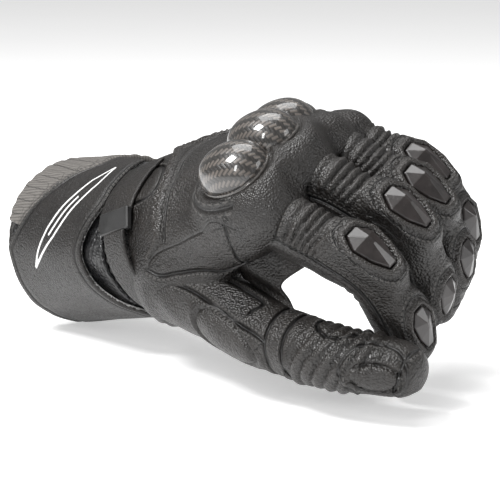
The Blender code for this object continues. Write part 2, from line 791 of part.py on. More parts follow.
def make_flap(cuff):
    grid = band_grid(FLAP_ARC, 18, 4, flap_front, flap_rear, FLAP_LIFT)
    hinge = grid[0][0].lerp(grid[-1][0], 0.5)
    frame = add_empty("flap_hinge", Matrix.Translation(hinge), cuff)
    bm = patch(grid, outward_from_cuff)
    bm.transform(Matrix.Translation(-hinge))
    add_skin("cuff_flap", bm, "leather", frame, FLAP_THICKNESS)


def make_shock_panel(cuff):
    columns = SHOCK_RIBS * 2
    grid = band_grid(
        SHOCK_ARC,
        columns,
        4,
        lambda angle: flap_rear(angle) + SHOCK_SETBACK,
        lambda angle: FLAP_REAR,
        SHOCK_LIFT,
    )
    for row in grid:
        for point in row[1:columns:2]:
            point += Vector(outward_from_cuff(point)).normalized() * SHOCK_RIB_HEIGHT
    bm = patch(grid, outward_from_cuff)
    add_skin("cuff_shock_panel", bm, "shock", cuff, SHOCK_THICKNESS)


# ---- Web between thumb and index finger ----
def make_web(root):
    """Saddle of thin leather from the top of the thumb to the palm side of the index finger."""
    spec = FINGERS["index"]
    thumb = aimed_frame(THUMB_BASE, THUMB_KNUCKLE)
    base = joint_frame(spec["knuckle"], 0.0, spec["splay"])
    finger = hand_matrix() @ base @ joint_frame((0, 0, 0), spec["flex"][0])
    half = spec["radii"][0] + GAP + WEB_THICKNESS
    grid = []
    for t in np.linspace(0.0, 1.0, 5):
        reach = lerp(*WEB_FINGER_SPAN, t)
        upper = finger @ Vector((reach, -0.45 * half, -0.92 * half))
        reach = lerp(*WEB_THUMB_SPAN, t)
        radius = lerp(THUMB_RADII[0], THUMB_RADII[1], min(1.0, reach / 0.055)) + GAP + WEB_THICKNESS
        lower = thumb @ Vector((reach, radius * 0.92, -radius * 0.35))
        row = []
        for u in np.linspace(0.0, 1.0, 7):
            point = upper.lerp(lower, u)
            point.x -= WEB_SAG * math.sin(math.pi * u)
            row.append(point)
        grid.append(row)
    add_skin("web_gusset", patch(grid, lambda point: (0, -1, 0)), "leather_side", root, WEB_THICKNESS)


# ---- Assembly ----
def build():
    root = add_empty("glove", Matrix())
    hand = add_empty("hand", hand_matrix(), root)
    cuff = add_empty("wrist_joint", Matrix(), root)
    make_hand_shell(hand)
    for name in FINGERS:
        make_finger(name, hand)
    make_thumb(root)
    make_web(root)
    make_knuckle_guard(hand)
    make_strap(hand)
    make_wrist_elastic(root)
    make_cuff_shell(cuff)
    make_hem(cuff)
    make_flap(cuff)
    make_shock_panel(cuff)


clear_scene()
GLOVE = new_collection("riding_glove")
CUTTERS = new_collection("cutters")
build()
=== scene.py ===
import json
import math

import bmesh
import bpy
import numpy as np
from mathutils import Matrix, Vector


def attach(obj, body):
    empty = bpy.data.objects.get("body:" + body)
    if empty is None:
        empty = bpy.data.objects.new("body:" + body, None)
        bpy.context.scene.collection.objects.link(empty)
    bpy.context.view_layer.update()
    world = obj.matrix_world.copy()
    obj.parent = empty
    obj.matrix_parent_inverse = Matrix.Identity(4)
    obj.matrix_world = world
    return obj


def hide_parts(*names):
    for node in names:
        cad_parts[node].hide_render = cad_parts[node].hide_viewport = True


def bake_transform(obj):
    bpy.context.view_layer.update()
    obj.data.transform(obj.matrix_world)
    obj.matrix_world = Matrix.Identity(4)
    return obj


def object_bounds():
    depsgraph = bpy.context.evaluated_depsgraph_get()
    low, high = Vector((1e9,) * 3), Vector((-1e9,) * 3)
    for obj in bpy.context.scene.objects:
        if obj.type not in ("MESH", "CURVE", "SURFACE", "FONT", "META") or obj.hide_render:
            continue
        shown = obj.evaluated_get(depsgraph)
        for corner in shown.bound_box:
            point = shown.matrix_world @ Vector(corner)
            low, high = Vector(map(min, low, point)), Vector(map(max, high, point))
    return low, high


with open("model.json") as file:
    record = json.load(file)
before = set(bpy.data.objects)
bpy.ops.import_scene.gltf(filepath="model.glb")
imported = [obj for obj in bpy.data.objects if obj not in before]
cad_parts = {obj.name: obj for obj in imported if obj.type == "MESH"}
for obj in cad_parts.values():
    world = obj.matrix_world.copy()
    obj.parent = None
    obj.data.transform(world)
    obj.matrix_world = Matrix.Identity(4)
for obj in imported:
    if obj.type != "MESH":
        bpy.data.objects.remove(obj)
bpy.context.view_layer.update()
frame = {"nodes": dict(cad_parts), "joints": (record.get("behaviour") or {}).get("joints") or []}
joints = {joint["name"]: joint for joint in frame["joints"]}
print("glove: frame loaded,", len(frame["nodes"]), "nodes")

# Lengths are in millimetres until a mesh is made.
metresPerMm = 0.001
farFromSeam = 40.0  # stands in the "seam" field where no sewn line is near


# ---- small maths ----
def unit(v):
    # v over its own length
    v = np.asarray(v, float)
    return v / np.maximum(np.linalg.norm(v, axis=-1, keepdims=True), 1e-9)


def mix(a, b, t):
    # a at t = 0, b at t = 1, and a straight line between
    return a + (b - a) * t


def ease(a, b, x):
    # 0 before a, 1 after b, and the cubic 3t^2 - 2t^3 between
    t = np.clip((np.asarray(x, float) - a) / (b - a), 0, 1)
    return t * t * (3 - 2 * t)


def window(x, start, end, soft):
    # 1 between start and end, easing to 0 over soft to either side of both
    return ease(start - soft, start + soft, x) * (1 - ease(end - soft, end + soft, x))


def hump(x, width):
    # e^-(x / width)^2
    return np.exp(-((x / width) ** 2))


def turnMatrix(roll, pitch, yaw):
    # turn about x by roll, then y by pitch, then z by yaw, in degrees
    r, p, y = np.radians([roll, pitch, yaw])
    aboutX = np.array([[1, 0, 0], [0, np.cos(r), -np.sin(r)], [0, np.sin(r), np.cos(r)]])
    aboutY = np.array([[np.cos(p), 0, np.sin(p)], [0, 1, 0], [-np.sin(p), 0, np.cos(p)]])
    aboutZ = np.array([[np.cos(y), -np.sin(y), 0], [np.sin(y), np.cos(y), 0], [0, 0, 1]])
    return aboutZ @ aboutY @ aboutX


def turnAbout(v, axis, degrees):
    # v turned about a unit axis: v cos + (axis x v) sin + axis (axis . v)(1 - cos)
    c, s = math.cos(math.radians(degrees)), math.sin(math.radians(degrees))
    return v * c + np.cross(axis, v) * s + axis * np.dot(axis, v) * (1 - c)


def smoothNoise(points, size, seed):
    # a quarter of the sum of seven slanted sines with seeded directions: a soft, uneven field
    random = np.random.default_rng(seed)
    total = np.zeros(points.shape[:-1])
    for layer in range(7):
        direction = unit(random.normal(size=3)) / (size * (0.6 + 0.15 * layer))
        total += np.sin(points @ direction * 2 * np.pi + random.uniform(0, 6.28))
    return total / 4


# ---- grids of points ----
def gridNormals(points, wrapped=True):
    # cross product of the two directions of the grid
    down = np.gradient(points, axis=0)
    if wrapped:
        across = np.roll(points, -1, axis=1) - np.roll(points, 1, axis=1)
    else:
        across = np.gradient(points, axis=1)
    return unit(np.cross(down, across))


def facingOut(points, normals):
    # the normals, all reversed if on average they point at their ring's middle
    middle = points.mean(axis=1, keepdims=True)
    return normals * np.sign(((points - middle) * normals).sum(-1).mean())


def sampleGrid(points, row, column):
    # bilinear reading of a wrapped grid at fractional rows and columns
    rows, columns = points.shape[:2]
    row = np.clip(row, 0, rows - 1.001)
    i, j = np.floor(row).astype(int), np.floor(column).astype(int)
    s, t = (row - i)[:, None], (column - j)[:, None]
    j, k = j % columns, (j + 1) % columns
    upper = points[i, j] * (1 - t) + points[i, k] * t
    lower = points[i + 1, j] * (1 - t) + points[i + 1, k] * t
    return upper * (1 - s) + lower * s


def smoothLine(corners, count, closed=False):
    # Catmull-Rom curve through the corners, sampled evenly in its parameter
    corners = np.asarray(corners, float)
    if closed:
        corners = np.concatenate([corners[-1:], corners, corners[:2]])
    else:
        corners = np.concatenate([2 * corners[:1] - corners[1:2], corners, 2 * corners[-1:] - corners[-2:-1]])
    spans = len(corners) - 3
    t = np.linspace(0, spans, count)
    i = np.minimum(t.astype(int), spans - 1)
    t = (t - i)[:, None]
    a, b, c, d = corners[i], corners[i + 1], corners[i + 2], corners[i + 3]
    return 0.5 * (2 * b + (c - a) * t + (2 * a - 5 * b + 4 * c - d) * t**2 + (3 * b - a - 3 * c + d) * t**3)


def lineFields(points, normals, lines):
    # for each point, its nearest sewn line: signed distance, length along it and the stitch rows on each side
    shape = points.shape[:-1]
    flat, facing = points.reshape(-1, 3), normals.reshape(-1, 3)
    best = np.full(len(flat), farFromSeam)
    names = ("seam", "run", "up", "down", "dip")
    fields = {name: np.zeros(len(flat)) for name in names}
    fields["seam"] += farFromSeam
    ridge = np.zeros(len(flat))
    for line in lines:
        path = line["path"]
        close = ((flat > path.min(0) - 12) & (flat < path.max(0) + 12)).all(1).nonzero()[0]
        a, ab = path[:-1], np.diff(path, axis=0)
        squared = np.maximum((ab**2).sum(-1), 1e-9)
        start = np.concatenate([[0], np.cumsum(np.sqrt(squared))])[:-1]
        for part in np.array_split(close, max(1, len(close) * len(a) // 600000)):
            if not len(part):
                continue
            away = flat[part][:, None] - a[None]
            t = np.clip((away * ab).sum(-1) / squared, 0, 1)
            away -= t[..., None] * ab
            far = np.sqrt((away**2).sum(-1))
            k = far.argmin(1)
            every = np.arange(len(part))
            far, away, t = far[every, k], away[every, k], t[every, k]
            side = np.where((np.cross(ab[k], away) * facing[part]).sum(-1) < 0, -1.0, 1.0)
            nearer = far < best[part]
            at = part[nearer]
            best[at] = far[nearer]
            fields["seam"][at] = (far * side)[nearer]
            fields["run"][at] = (start[k] + t * np.sqrt(squared[k]))[nearer]
            fields["up"][at] = line.get("up", 0)
            fields["down"][at] = line.get("down", 0)
            fields["dip"][at] = line.get("dip", 1)
            ridge[at] = line.get("ridge", 0)
    fields["near"] = 1 - ease(4.0, 6.5, best)
    # the leather sinks along a sewn line, swells a little beside it, and rises over piping
    lift = -0.5 * hump(best, 0.8) * fields["dip"] + 0.32 * hump(best - 2.8, 1.7) * fields["dip"]
    lift += ridge * hump(best, 0.95)
    fields["crest"] = ridge * hump(best, 0.6)
    return {name: field.reshape(shape) for name, field in fields.items()}, lift.reshape(shape)


def outlineDistance(u, v, outline):
    # signed distance from (u, v) to a convex outline given in order: negative inside
    outline = np.asarray(outline, float)
    nearest = np.full(u.shape, 1e9)
    inside = np.full(u.shape, -1e9)
    for (au, av), (bu, bv) in zip(outline, np.roll(outline, -1, axis=0)):
        du, dv = bu - au, bv - av
        t = np.clip(((u - au) * du + (v - av) * dv) / (du * du + dv * dv), 0, 1)
        nearest = np.minimum(nearest, np.hypot(u - au - t * du, v - av - t * dv))
        inside = np.maximum(inside, ((u - au) * dv - (v - av) * du) / math.hypot(du, dv))
    return np.where(inside < 0, -nearest, nearest)


# ---- meshes ----
def addObject(name, verts, faces, material, fields=None, normals=None, smooth=True, weld=False):
    # faces come as one array for each number of corners; fields become attributes of the points
    mesh = bpy.data.meshes.new(name)
    verts = np.asarray(verts, float)
    quads = [face for face in faces if len(face)]
    loops = np.concatenate([np.asarray(face).reshape(-1) for face in quads])
    sizes = np.concatenate([np.full(len(face), np.asarray(face).shape[1]) for face in quads])
    mesh.vertices.add(len(verts))
    mesh.vertices.foreach_set("co", (verts * metresPerMm).astype(np.float32).reshape(-1))
    mesh.loops.add(len(loops))
    mesh.loops.foreach_set("vertex_index", loops.astype(np.int32))
    mesh.polygons.add(len(sizes))
    mesh.polygons.foreach_set("loop_start", (np.cumsum(sizes) - sizes).astype(np.int32))
    mesh.update(calc_edges=True)
    mesh.validate()
    for key, values in (fields or {}).items():
        attribute = mesh.attributes.new(key, "FLOAT", "POINT")
        attribute.data.foreach_set("value", np.asarray(values, np.float32).reshape(-1))
    if weld:
        work = bmesh.new()
        work.from_mesh(mesh)
        bmesh.ops.remove_doubles(work, verts=work.verts, dist=2e-6)
        bmesh.ops.dissolve_degenerate(work, dist=1e-7, edges=work.edges)
        work.to_mesh(mesh)
        work.free()
    mesh.polygons.foreach_set("use_smooth", np.full(len(mesh.polygons), smooth))
    if normals is not None:
        mesh.normals_split_custom_set_from_vertices(np.asarray(normals, float))
    made = bpy.data.objects.new(name, mesh)
    bpy.context.scene.collection.objects.link(made)
    mesh.materials.append(material)
    return made


def volumeSign(verts, faces):
    # sign of the enclosed volume: the sum of a . (b x c) over a fan of triangles in each face
    total = 0.0
    for face in faces:
        face = np.asarray(face)
        for k in range(1, face.shape[1] - 1):
            a, b, c = verts[face[:, 0]], verts[face[:, k]], verts[face[:, k + 1]]
            total += (a * np.cross(b, c)).sum()
    return 1 if total >= 0 else -1


def tubePiece(name, points, material, fields=None, normals=None):
    # a wrapped grid of rings, with a fan over each end
    rows, columns = points.shape[:2]
    index = np.arange(rows * columns).reshape(rows, columns)
    ahead = np.roll(index, -1, axis=1)
    quads = np.stack([index[:-1], ahead[:-1], ahead[1:], index[1:]], -1).reshape(-1, 4)
    first, last = rows * columns, rows * columns + 1
    verts = np.concatenate([points.reshape(-1, 3), [points[0].mean(0)], [points[-1].mean(0)]])
    front = np.stack([np.full(columns, first), ahead[0], index[0]], -1)
    rear = np.stack([np.full(columns, last), index[-1], ahead[-1]], -1)
    faces = [quads, front, rear]
    if volumeSign(verts, faces) < 0:
        faces = [face[:, ::-1] for face in faces]
    kept = {}
    for key, values in (fields or {}).items():
        kept[key] = np.concatenate([values.reshape(-1), [values[0].mean(), values[-1].mean()]])
    if normals is not None:
        ends = [unit(points[0].mean(0) - points[1].mean(0)), unit(points[-1].mean(0) - points[-2].mean(0))]
        normals = np.concatenate([normals.reshape(-1, 3), ends])
    return addObject(name, verts, faces, material, kept, normals)


def sheetPiece(name, middle, thickness, material, fields=None, lift=None):
    # a middle surface given a thickness: both faces stand off it by half the thickness, and both
    # go round each edge on a half circle, sqrt(1 - x^2), where x runs from 0 to 1 over the last steps
    steps = np.array([0.4, 0.75, 0.93, 1.0])
    half = thickness / 2
    grid = middle
    for axis in (0, 1):
        grid = np.moveaxis(grid, axis, 0)
        before, after = unit(grid[0] - grid[1]), unit(grid[-1] - grid[-2])
        head = [grid[0] + before * half * x for x in steps[::-1]]
        tail = [grid[-1] + after * half * x for x in steps]
        grid = np.moveaxis(np.concatenate([head, grid, tail]), 0, axis)
    rows, columns = grid.shape[:2]
    pad = len(steps)
    alongRows = np.concatenate([steps[::-1], np.zeros(rows - 2 * pad), steps])
    alongColumns = np.concatenate([steps[::-1], np.zeros(columns - 2 * pad), steps])
    full = np.sqrt(np.clip(1 - alongRows[:, None] ** 2, 0, 1) * np.clip(1 - alongColumns[None] ** 2, 0, 1))
    normals = gridNormals(grid, wrapped=False)
    stretch = ((pad, pad), (pad, pad))
    outer = grid + normals * (half * full)[..., None]
    if lift is not None:
        outer = outer + normals * (np.pad(lift, stretch, mode="edge") * full)[..., None]
    inner = grid - normals * (half * full)[..., None]
    verts = np.concatenate([outer.reshape(-1, 3), inner.reshape(-1, 3)])
    index = np.arange(rows * columns).reshape(rows, columns)
    top = np.stack([index[:-1, :-1], index[:-1, 1:], index[1:, 1:], index[1:, :-1]], -1).reshape(-1, 4)
    faces = [top, top[:, ::-1] + rows * columns]
    if volumeSign(verts, faces) < 0:
        faces = [face[:, ::-1] for face in faces]
    kept = {}
    for key, values in (fields or {}).items():
        values = np.pad(values, stretch, mode="edge")
        under = values if key in ("weaveU", "weaveV") else np.full(values.shape, farFromSeam if key == "seam" else 0.0)
        kept[key] = np.concatenate([values.reshape(-1), under.reshape(-1)])
    return addObject(name, verts, faces, material, kept, weld=True)


# ---- shader arithmetic ----
class Link:
    # one shader socket; an expression on it adds its Math nodes
    def __init__(self, paint, socket):
        self.paint = paint
        self.socket = socket

    def maths(self, operation, *values):
        return self.paint.node("ShaderNodeMath", {"operation": operation}, values)

    def __add__(self, other):
        return self.maths("ADD", self, other)

    def __radd__(self, other):
        return self.maths("ADD", other, self)

    def __sub__(self, other):
        return self.maths("SUBTRACT", self, other)

    def __rsub__(self, other):
        return self.maths("SUBTRACT", other, self)

    def __mul__(self, other):
        return self.maths("MULTIPLY", self, other)

    def __rmul__(self, other):
        return self.maths("MULTIPLY", other, self)

    def __truediv__(self, other):
        return self.maths("DIVIDE", self, other)

    def __abs__(self):
        return self.maths("ABSOLUTE", self)

    def fraction(self):
        return self.maths("FRACT", self)

    def whole(self):
        return self.maths("FLOOR", self)

    def below(self, other):
        return self.maths("LESS_THAN", self, other)

    def above(self, other):
        return self.maths("GREATER_THAN", self, other)

    def remainder(self, other):
        return self.maths("FLOORED_MODULO", self, other)

    def sine(self):
        return self.maths("SINE", self)

    def ease(self, a, b):
        # the same cubic step as the function ease above
        return self.paint.node(
            "ShaderNodeMapRange",
            {"interpolation_type": "SMOOTHSTEP"},
            {"Value": self, "From Min": a, "From Max": b, "To Min": 0.0, "To Max": 1.0},
        )


class Paint:
    # a material being mixed: its node tree, its Principled shader and its wires
    def __init__(self, name):
        self.material = bpy.data.materials.new(name)
        self.material.use_nodes = True
        self.tree = self.material.node_tree
        self.shader = next(node for node in self.tree.nodes if node.type == "BSDF_PRINCIPLED")

    def node(self, kind, settings=None, values=(), output=0):
        made = self.tree.nodes.new(kind)
        for key, value in (settings or {}).items():
            setattr(made, key, value)
        pairs = values.items() if isinstance(values, dict) else enumerate(values)
        for key, value in pairs:
            self.put(made.inputs[key], value)
        return Link(self, made.outputs[output])

    def put(self, socket, value):
        if isinstance(value, Link):
            self.tree.links.new(value.socket, socket)
        elif isinstance(value, (tuple, list)) and socket.type == "RGBA":
            socket.default_value = (*value[:3], 1.0)
        else:
            socket.default_value = value

    def set(self, name, value):
        self.put(self.shader.inputs[name], value)

    def field(self, name):
        return self.node("ShaderNodeAttribute", {"attribute_name": name}, output="Fac")

    def place(self):
        # object coordinates in millimetres
        where = self.node("ShaderNodeTexCoord", output="Object")
        return self.node("ShaderNodeVectorMath", {"operation": "SCALE"}, {"Vector": where, "Scale": 1000.0})

    def noise(self, where, size, detail=2.0):
        return self.node("ShaderNodeTexNoise", None, {"Vector": where, "Scale": 1 / size, "Detail": detail})

    def cells(self, where, size, feature="F1"):
        return self.node("ShaderNodeTexVoronoi", {"feature": feature}, {"Vector": where, "Scale": 1 / size})

    def warped(self, where, size, amount):
        # coordinates pushed about by noise, so that cells aren't regular
        drift = self.node("ShaderNodeTexNoise", None, {"Vector": where, "Scale": 1 / size}, output="Color")
        pushed = self.node("ShaderNodeVectorMath", {"operation": "SCALE"}, {"Vector": drift, "Scale": amount})
        return self.node("ShaderNodeVectorMath", {"operation": "ADD"}, (where, pushed))

    def blend(self, factor, a, b):
        return self.node("ShaderNodeMix", {"data_type": "RGBA"}, {0: factor, 6: a, 7: b}, output=2)

    def relief(self, height, strength=1.0):
        # height in millimetres
        bump = self.node("ShaderNodeBump", None, {"Height": height, "Strength": strength, "Distance": metresPerMm})
        self.set("Normal", bump)


def stitchMasks(paint, pitch, offset):
    # thread between two holes: a dash in the length along the line, on a narrow strip beside it
    seam, run = paint.field("seam"), paint.field("run")
    near = paint.field("near")
    away = abs(seam)
    gate = paint.field("up") * seam.above(0.0) + paint.field("down") * seam.below(0.0)
    strip = 1 - abs(away - offset).ease(0.22, 0.5)
    dash = (run / pitch).fraction()
    sewn = dash.ease(0.06, 0.22) * (1 - dash.ease(0.78, 0.94))
    thread = strip * sewn * gate * near
    hole = strip * (1 - sewn) * gate * near
    groove = (1 - away.ease(0.0, 1.2)) * near * paint.field("dip")
    return thread, hole, groove


def leatherPaint(name, look, film=None):
    # pebbled grain over soft wrinkles, pressed in along the seams, with an optional film of colour on "mark"
    paint = Paint(name)
    place = paint.place()
    grainPlace = paint.warped(place, look["grain"] * 2.2, look["grain"] * 0.4)
    pebble = paint.cells(grainPlace, look["grain"])
    pebbles = 1 - (pebble * pebble) * 2.2
    pores = paint.noise(place, 0.28, 3.0)
    wrinklePlace = paint.warped(place, 9.0, 6.0)
    wrinkle = paint.noise(wrinklePlace, 7.0, 3.0)
    broad = paint.noise(place, 26.0, 3.0)
    thread, hole, groove = stitchMasks(paint, look["pitch"], look["offset"])
    crest = paint.field("crest")
    height = pebbles * look["grainHeight"] + pores * 0.03 + wrinkle * look["wrinkle"]
    height = height * (1 - groove) - groove * 0.95 + thread * 0.3 - hole * 0.35
    paint.relief(height, look["relief"])
    tone = (broad * 0.6 + wrinkle * 0.4).ease(0.32, 0.68)
    skin = paint.blend(tone, look["deep"], look["pale"])
    # crests, piping, pads and pebble tops lighter: partly rubbed wear, partly painted highlight
    skin = paint.blend((crest * 0.5 + pebbles.ease(0.75, 1.0) * 0.25), skin, look["lightest"])
    # painted shade: seam grooves and stitch holes darkened almost to black
    skin = paint.blend((groove + hole) * 0.85, skin, (0.004, 0.004, 0.004))
    skin = paint.blend(thread, skin, look["thread"])
    if film:
        wear = paint.noise(place, 0.8, 3.0)
        cover = (paint.field("mark") + (wear - 0.5) * 0.12).ease(-0.08, 0.12)
        skin = paint.blend(cover * (1 - wear.ease(0.66, 0.78) * 0.35), skin, film)
    paint.set("Base Color", skin)
    gloss = look["roughness"] + (broad - 0.5) * 0.22 + (1 - pebbles) * 0.12 - crest * 0.08 + thread * 0.3
    paint.set("Roughness", gloss)
    paint.set("Specular IOR Level", look["specular"])
    return paint.material


leatherLooks = {
    "back leather": {
        "grain": 1.0, "grainHeight": 0.2, "wrinkle": 0.12, "relief": 1.0, "roughness": 0.33,
        "specular": 0.5, "pitch": 2.3, "offset": 1.75,
        "deep": (0.0052, 0.0042, 0.0036), "pale": (0.0125, 0.0104, 0.009), "lightest": (0.03, 0.0265, 0.024),
        "thread": (0.055, 0.052, 0.049),
    },
    "palm leather": {
        "grain": 0.95, "grainHeight": 0.19, "wrinkle": 0.14, "relief": 1.0, "roughness": 0.35,
        "specular": 0.45, "pitch": 2.3, "offset": 1.7,
        "deep": (0.0056, 0.0046, 0.004), "pale": (0.0138, 0.0116, 0.0101), "lightest": (0.03, 0.0265, 0.024),
        "thread": (0.06, 0.057, 0.053),
    },
    "flap leather": {
        "grain": 0.9, "grainHeight": 0.15, "wrinkle": 0.1, "relief": 1.0, "roughness": 0.36,
        "specular": 0.45, "pitch": 2.1, "offset": 1.6,
        "deep": (0.0055, 0.0046, 0.0041), "pale": (0.0122, 0.0105, 0.0094), "lightest": (0.038, 0.035, 0.033),
        "thread": (0.05, 0.048, 0.045),
    },
    "lining leather": {
        "grain": 1.9, "grainHeight": 0.3, "wrinkle": 0.3, "relief": 1.0, "roughness": 0.27,
        "specular": 0.6, "pitch": 2.3, "offset": 1.7,
        "deep": (0.012, 0.012, 0.0125), "pale": (0.022, 0.022, 0.023), "lightest": (0.04, 0.04, 0.042),
        "thread": (0.05, 0.05, 0.05),
    },
}
leathers = {name: leatherPaint(name, look) for name, look in leatherLooks.items()}
markedLeather = leatherPaint("marked flap leather", leatherLooks["flap leather"], (0.72, 0.72, 0.71))


def carbonPaint(look):
    # two by two twill: the warp lies on top where (i - j) mod 4 is under 2
    paint = Paint("carbon twill")
    u, v = paint.field("weaveU") / look["tow"], paint.field("weaveV") / look["tow"]
    warp = (u.whole() - v.whole()).remainder(4.0).below(1.5)
    acrossWarp, acrossWeft = u.fraction() - 0.5, v.fraction() - 0.5
    crownWarp, crownWeft = 1 - acrossWarp * acrossWarp * 4, 1 - acrossWeft * acrossWeft * 4
    height = warp * crownWarp + (1 - warp) * crownWeft
    fibres = (u * 44.0).sine() * warp + (v * 44.0).sine() * (1 - warp)
    paint.relief(height * 0.11 + fibres * 0.006)
    place = paint.place()
    depth = paint.noise(place, 7.0, 2.0)
    # the twill's layout is the weave's own; its light warp and dark weft are painted sheen on one black fibre, and
    # each tow darker toward its edges is painted shade
    dark = paint.blend(height, look["gap"], look["weft"])
    light = paint.blend(height, look["gap"], look["warp"])
    weave = paint.blend(warp * (0.55 + depth * 0.6), dark, light)
    rim = paint.field("crest")
    paint.set("Base Color", paint.blend(rim, weave, look["rim"]))
    paint.set("Roughness", 0.34 + depth * 0.12)
    paint.set("Coat Weight", 1.0)
    paint.set("Coat Roughness", 0.035)
    return paint.material


carbon = carbonPaint({
    "tow": 1.75, "gap": (0.006, 0.0055, 0.005), "weft": (0.02, 0.0175, 0.0155),
    "warp": (0.12, 0.103, 0.09), "rim": (0.06, 0.055, 0.05),
})


def mouldedPaint(name, look):
    # moulded plastic: fine sparkle of texture, soft colour drift, lighter scuffs scattered by noise
    paint = Paint(name)
    place = paint.place()
    grain = paint.noise(place, look["grain"], 3.0)
    drift = paint.noise(place, 8.0, 2.0)
    scuffs = paint.noise(paint.warped(place, 3.0, 5.0), 0.9, 4.0).ease(0.58, 0.72)
    paint.relief(grain * look["height"] - scuffs * 0.01)
    tone = paint.blend(drift.ease(0.35, 0.65), look["deep"], look["pale"])
    tone = paint.blend(scuffs * 0.35, tone, look["lightest"])
    paint.set("Base Color", tone)
    paint.set("Roughness", look["roughness"] + (grain - 0.5) * 0.12 + scuffs * 0.1)
    paint.set("Coat Weight", look["coat"])
    paint.set("Coat Roughness", 0.12)
    return paint.material


studPlastic = mouldedPaint("stud plastic", {
    "grain": 0.5, "height": 0.012, "deep": (0.014, 0.0115, 0.011), "pale": (0.026, 0.0215, 0.0205),
    "lightest": (0.05, 0.045, 0.043), "roughness": 0.3, "coat": 0.25,
})
loopPlastic = mouldedPaint("loop plastic", {
    "grain": 0.35, "height": 0.03, "deep": (0.012, 0.012, 0.012), "pale": (0.022, 0.022, 0.022),
    "lightest": (0.045, 0.045, 0.045), "roughness": 0.42, "coat": 0.0,
})


def ribbedPaint(name, look):
    # knitted or ribbed fabric: rows of ribs across weaveU and fine knit along weaveV
    paint = Paint(name)
    u, v = paint.field("weaveU"), paint.field("weaveV")
    place = paint.place()
    wobble = paint.noise(place, 6.0, 2.0)
    ribs = ((u / look["rib"]) * 6.2832 + wobble * 1.5).sine() * 0.5 + 0.5
    knit = ((v / look["knit"]) * 6.2832 + (u / look["knit"]).sine() * 0.6).sine() * 0.5 + 0.5
    fuzz = paint.noise(place, 0.5, 3.0)
    thread, hole, groove = stitchMasks(paint, 2.6, 1.7)
    height = ribs * look["ribHeight"] + knit * look["knitHeight"] + fuzz * 0.05
    paint.relief(height * (1 - groove) - groove * 0.6 + thread * 0.4)
    # rib crests and knit tops painted lighter, their hollows darker: painted highlight and painted shade
    tone = paint.blend(ribs * 0.7 + knit * 0.3, look["deep"], look["pale"])
    tone = paint.blend(fuzz.ease(0.45, 0.75) * 0.4, tone, look["lightest"])
    # painted shade: the seam groove darkened almost to black
    tone = paint.blend(groove * 0.8, tone, (0.005, 0.005, 0.005))
    paint.set("Base Color", paint.blend(thread, tone, look["thread"]))
    paint.set("Roughness", 0.72 + fuzz * 0.15)
    return paint.material


elasticFabric = ribbedPaint("gathered elastic", {
    "rib": 2.2, "ribHeight": 0.25, "knit": 0.8, "knitHeight": 0.06,
    "deep": (0.008, 0.008, 0.008), "pale": (0.02, 0.019, 0.0185), "lightest": (0.03, 0.029, 0.028),
    "thread": (0.05, 0.05, 0.048),
})
shockFabric = ribbedPaint("ribbed padding fabric", {
    "rib": 1.5, "ribHeight": 0.12, "knit": 0.7, "knitHeight": 0.05,
    "deep": (0.045, 0.041, 0.037), "pale": (0.15, 0.14, 0.13), "lightest": (0.2, 0.19, 0.178),
    "thread": (0.03, 0.029, 0.028),
})
print("glove: finishes mixed")


# ---- the hand's own frame ----
handTurn = turnMatrix(28, -20, 0)


def jointPoint(name):
    # where a joint sits, in millimetres
    return np.array(joints[name]["pos_m"]) * 1000


def jointAxis(name):
    return unit(joints[name]["axis"])


def archHeight(y):
    # the knuckles stand on a parabola: 11 - 5.2 (y + 6)^2 / 1000
    return 11 - 5.2 * (y + 6) ** 2 / 1000


def handLocal(along, angle, lift=0.0):
    # a squared oval that widens and flattens from the wrist to the knuckles and follows their arch:
    # y = middle + halfWidth |cos|^w, z = arch + halfHeight |sin|^w
    t, along = np.radians(angle), np.maximum(along, 0)
    c, s = np.cos(t), np.sin(t)
    power = mix(0.92, 0.62, along)
    c, s = np.sign(c) * np.abs(c) ** power, np.sign(s) * np.abs(s) ** power
    halfWidth = mix(41.0, 50.0, along**0.8) + lift
    depth = np.where(s > 0, along**1.4, along**1.7)
    halfHeight = mix(30.5, 14.1, depth) + lift
    y = 3.5 * along + halfWidth * c
    z = archHeight(y) * along + halfHeight * s + 2 * (1 - along)
    rim = 95.4 - 6 * (y + 12) ** 2 / 1000 + 0.42 * halfHeight * s
    return np.stack([mix(3.0, rim, along), y, z], -1)


def capsuleDistance(points, start, end, startRadius, endRadius):
    # distance from the nearest point of a segment, less a radius that changes along it
    line = end - start
    t = np.clip((points - start) @ line / (line @ line), 0, 1)
    return np.linalg.norm(points - start - t[..., None] * line, axis=-1) - mix(startRadius, endRadius, t)


def smoothMin(a, b, k):
    # the lesser of two, rounded where they are within k of each other: mix(b, a, h) - k h (1 - h)
    h = np.clip(0.5 + 0.5 * (b - a) / k, 0, 1)
    return mix(b, a, h) - k * h * (1 - h)


# ---- finger and thumb tubes ----
def roundedPath(corners, cuts, step=0.4):
    # straight runs joined by quadratic arcs that leave each corner's two sides at the cut's length
    pieces = [corners[0][None]]
    for before, corner, after, cut in zip(corners, corners[1:], corners[2:], cuts):
        a = corner + unit(before - corner) * cut
        b = corner + unit(after - corner) * cut
        t = np.linspace(0, 1, 40)[:, None]
        pieces.append(a * (1 - t) ** 2 + 2 * corner * t * (1 - t) + b * t**2)
    pieces.append(corners[-1][None])
    dense = np.concatenate(pieces)
    far = np.concatenate([[0], np.cumsum(np.linalg.norm(np.diff(dense, axis=0), axis=1))])
    even = np.arange(0, far[-1], step)
    return np.stack([np.interp(even, far, dense[:, k]) for k in range(3)], -1), even


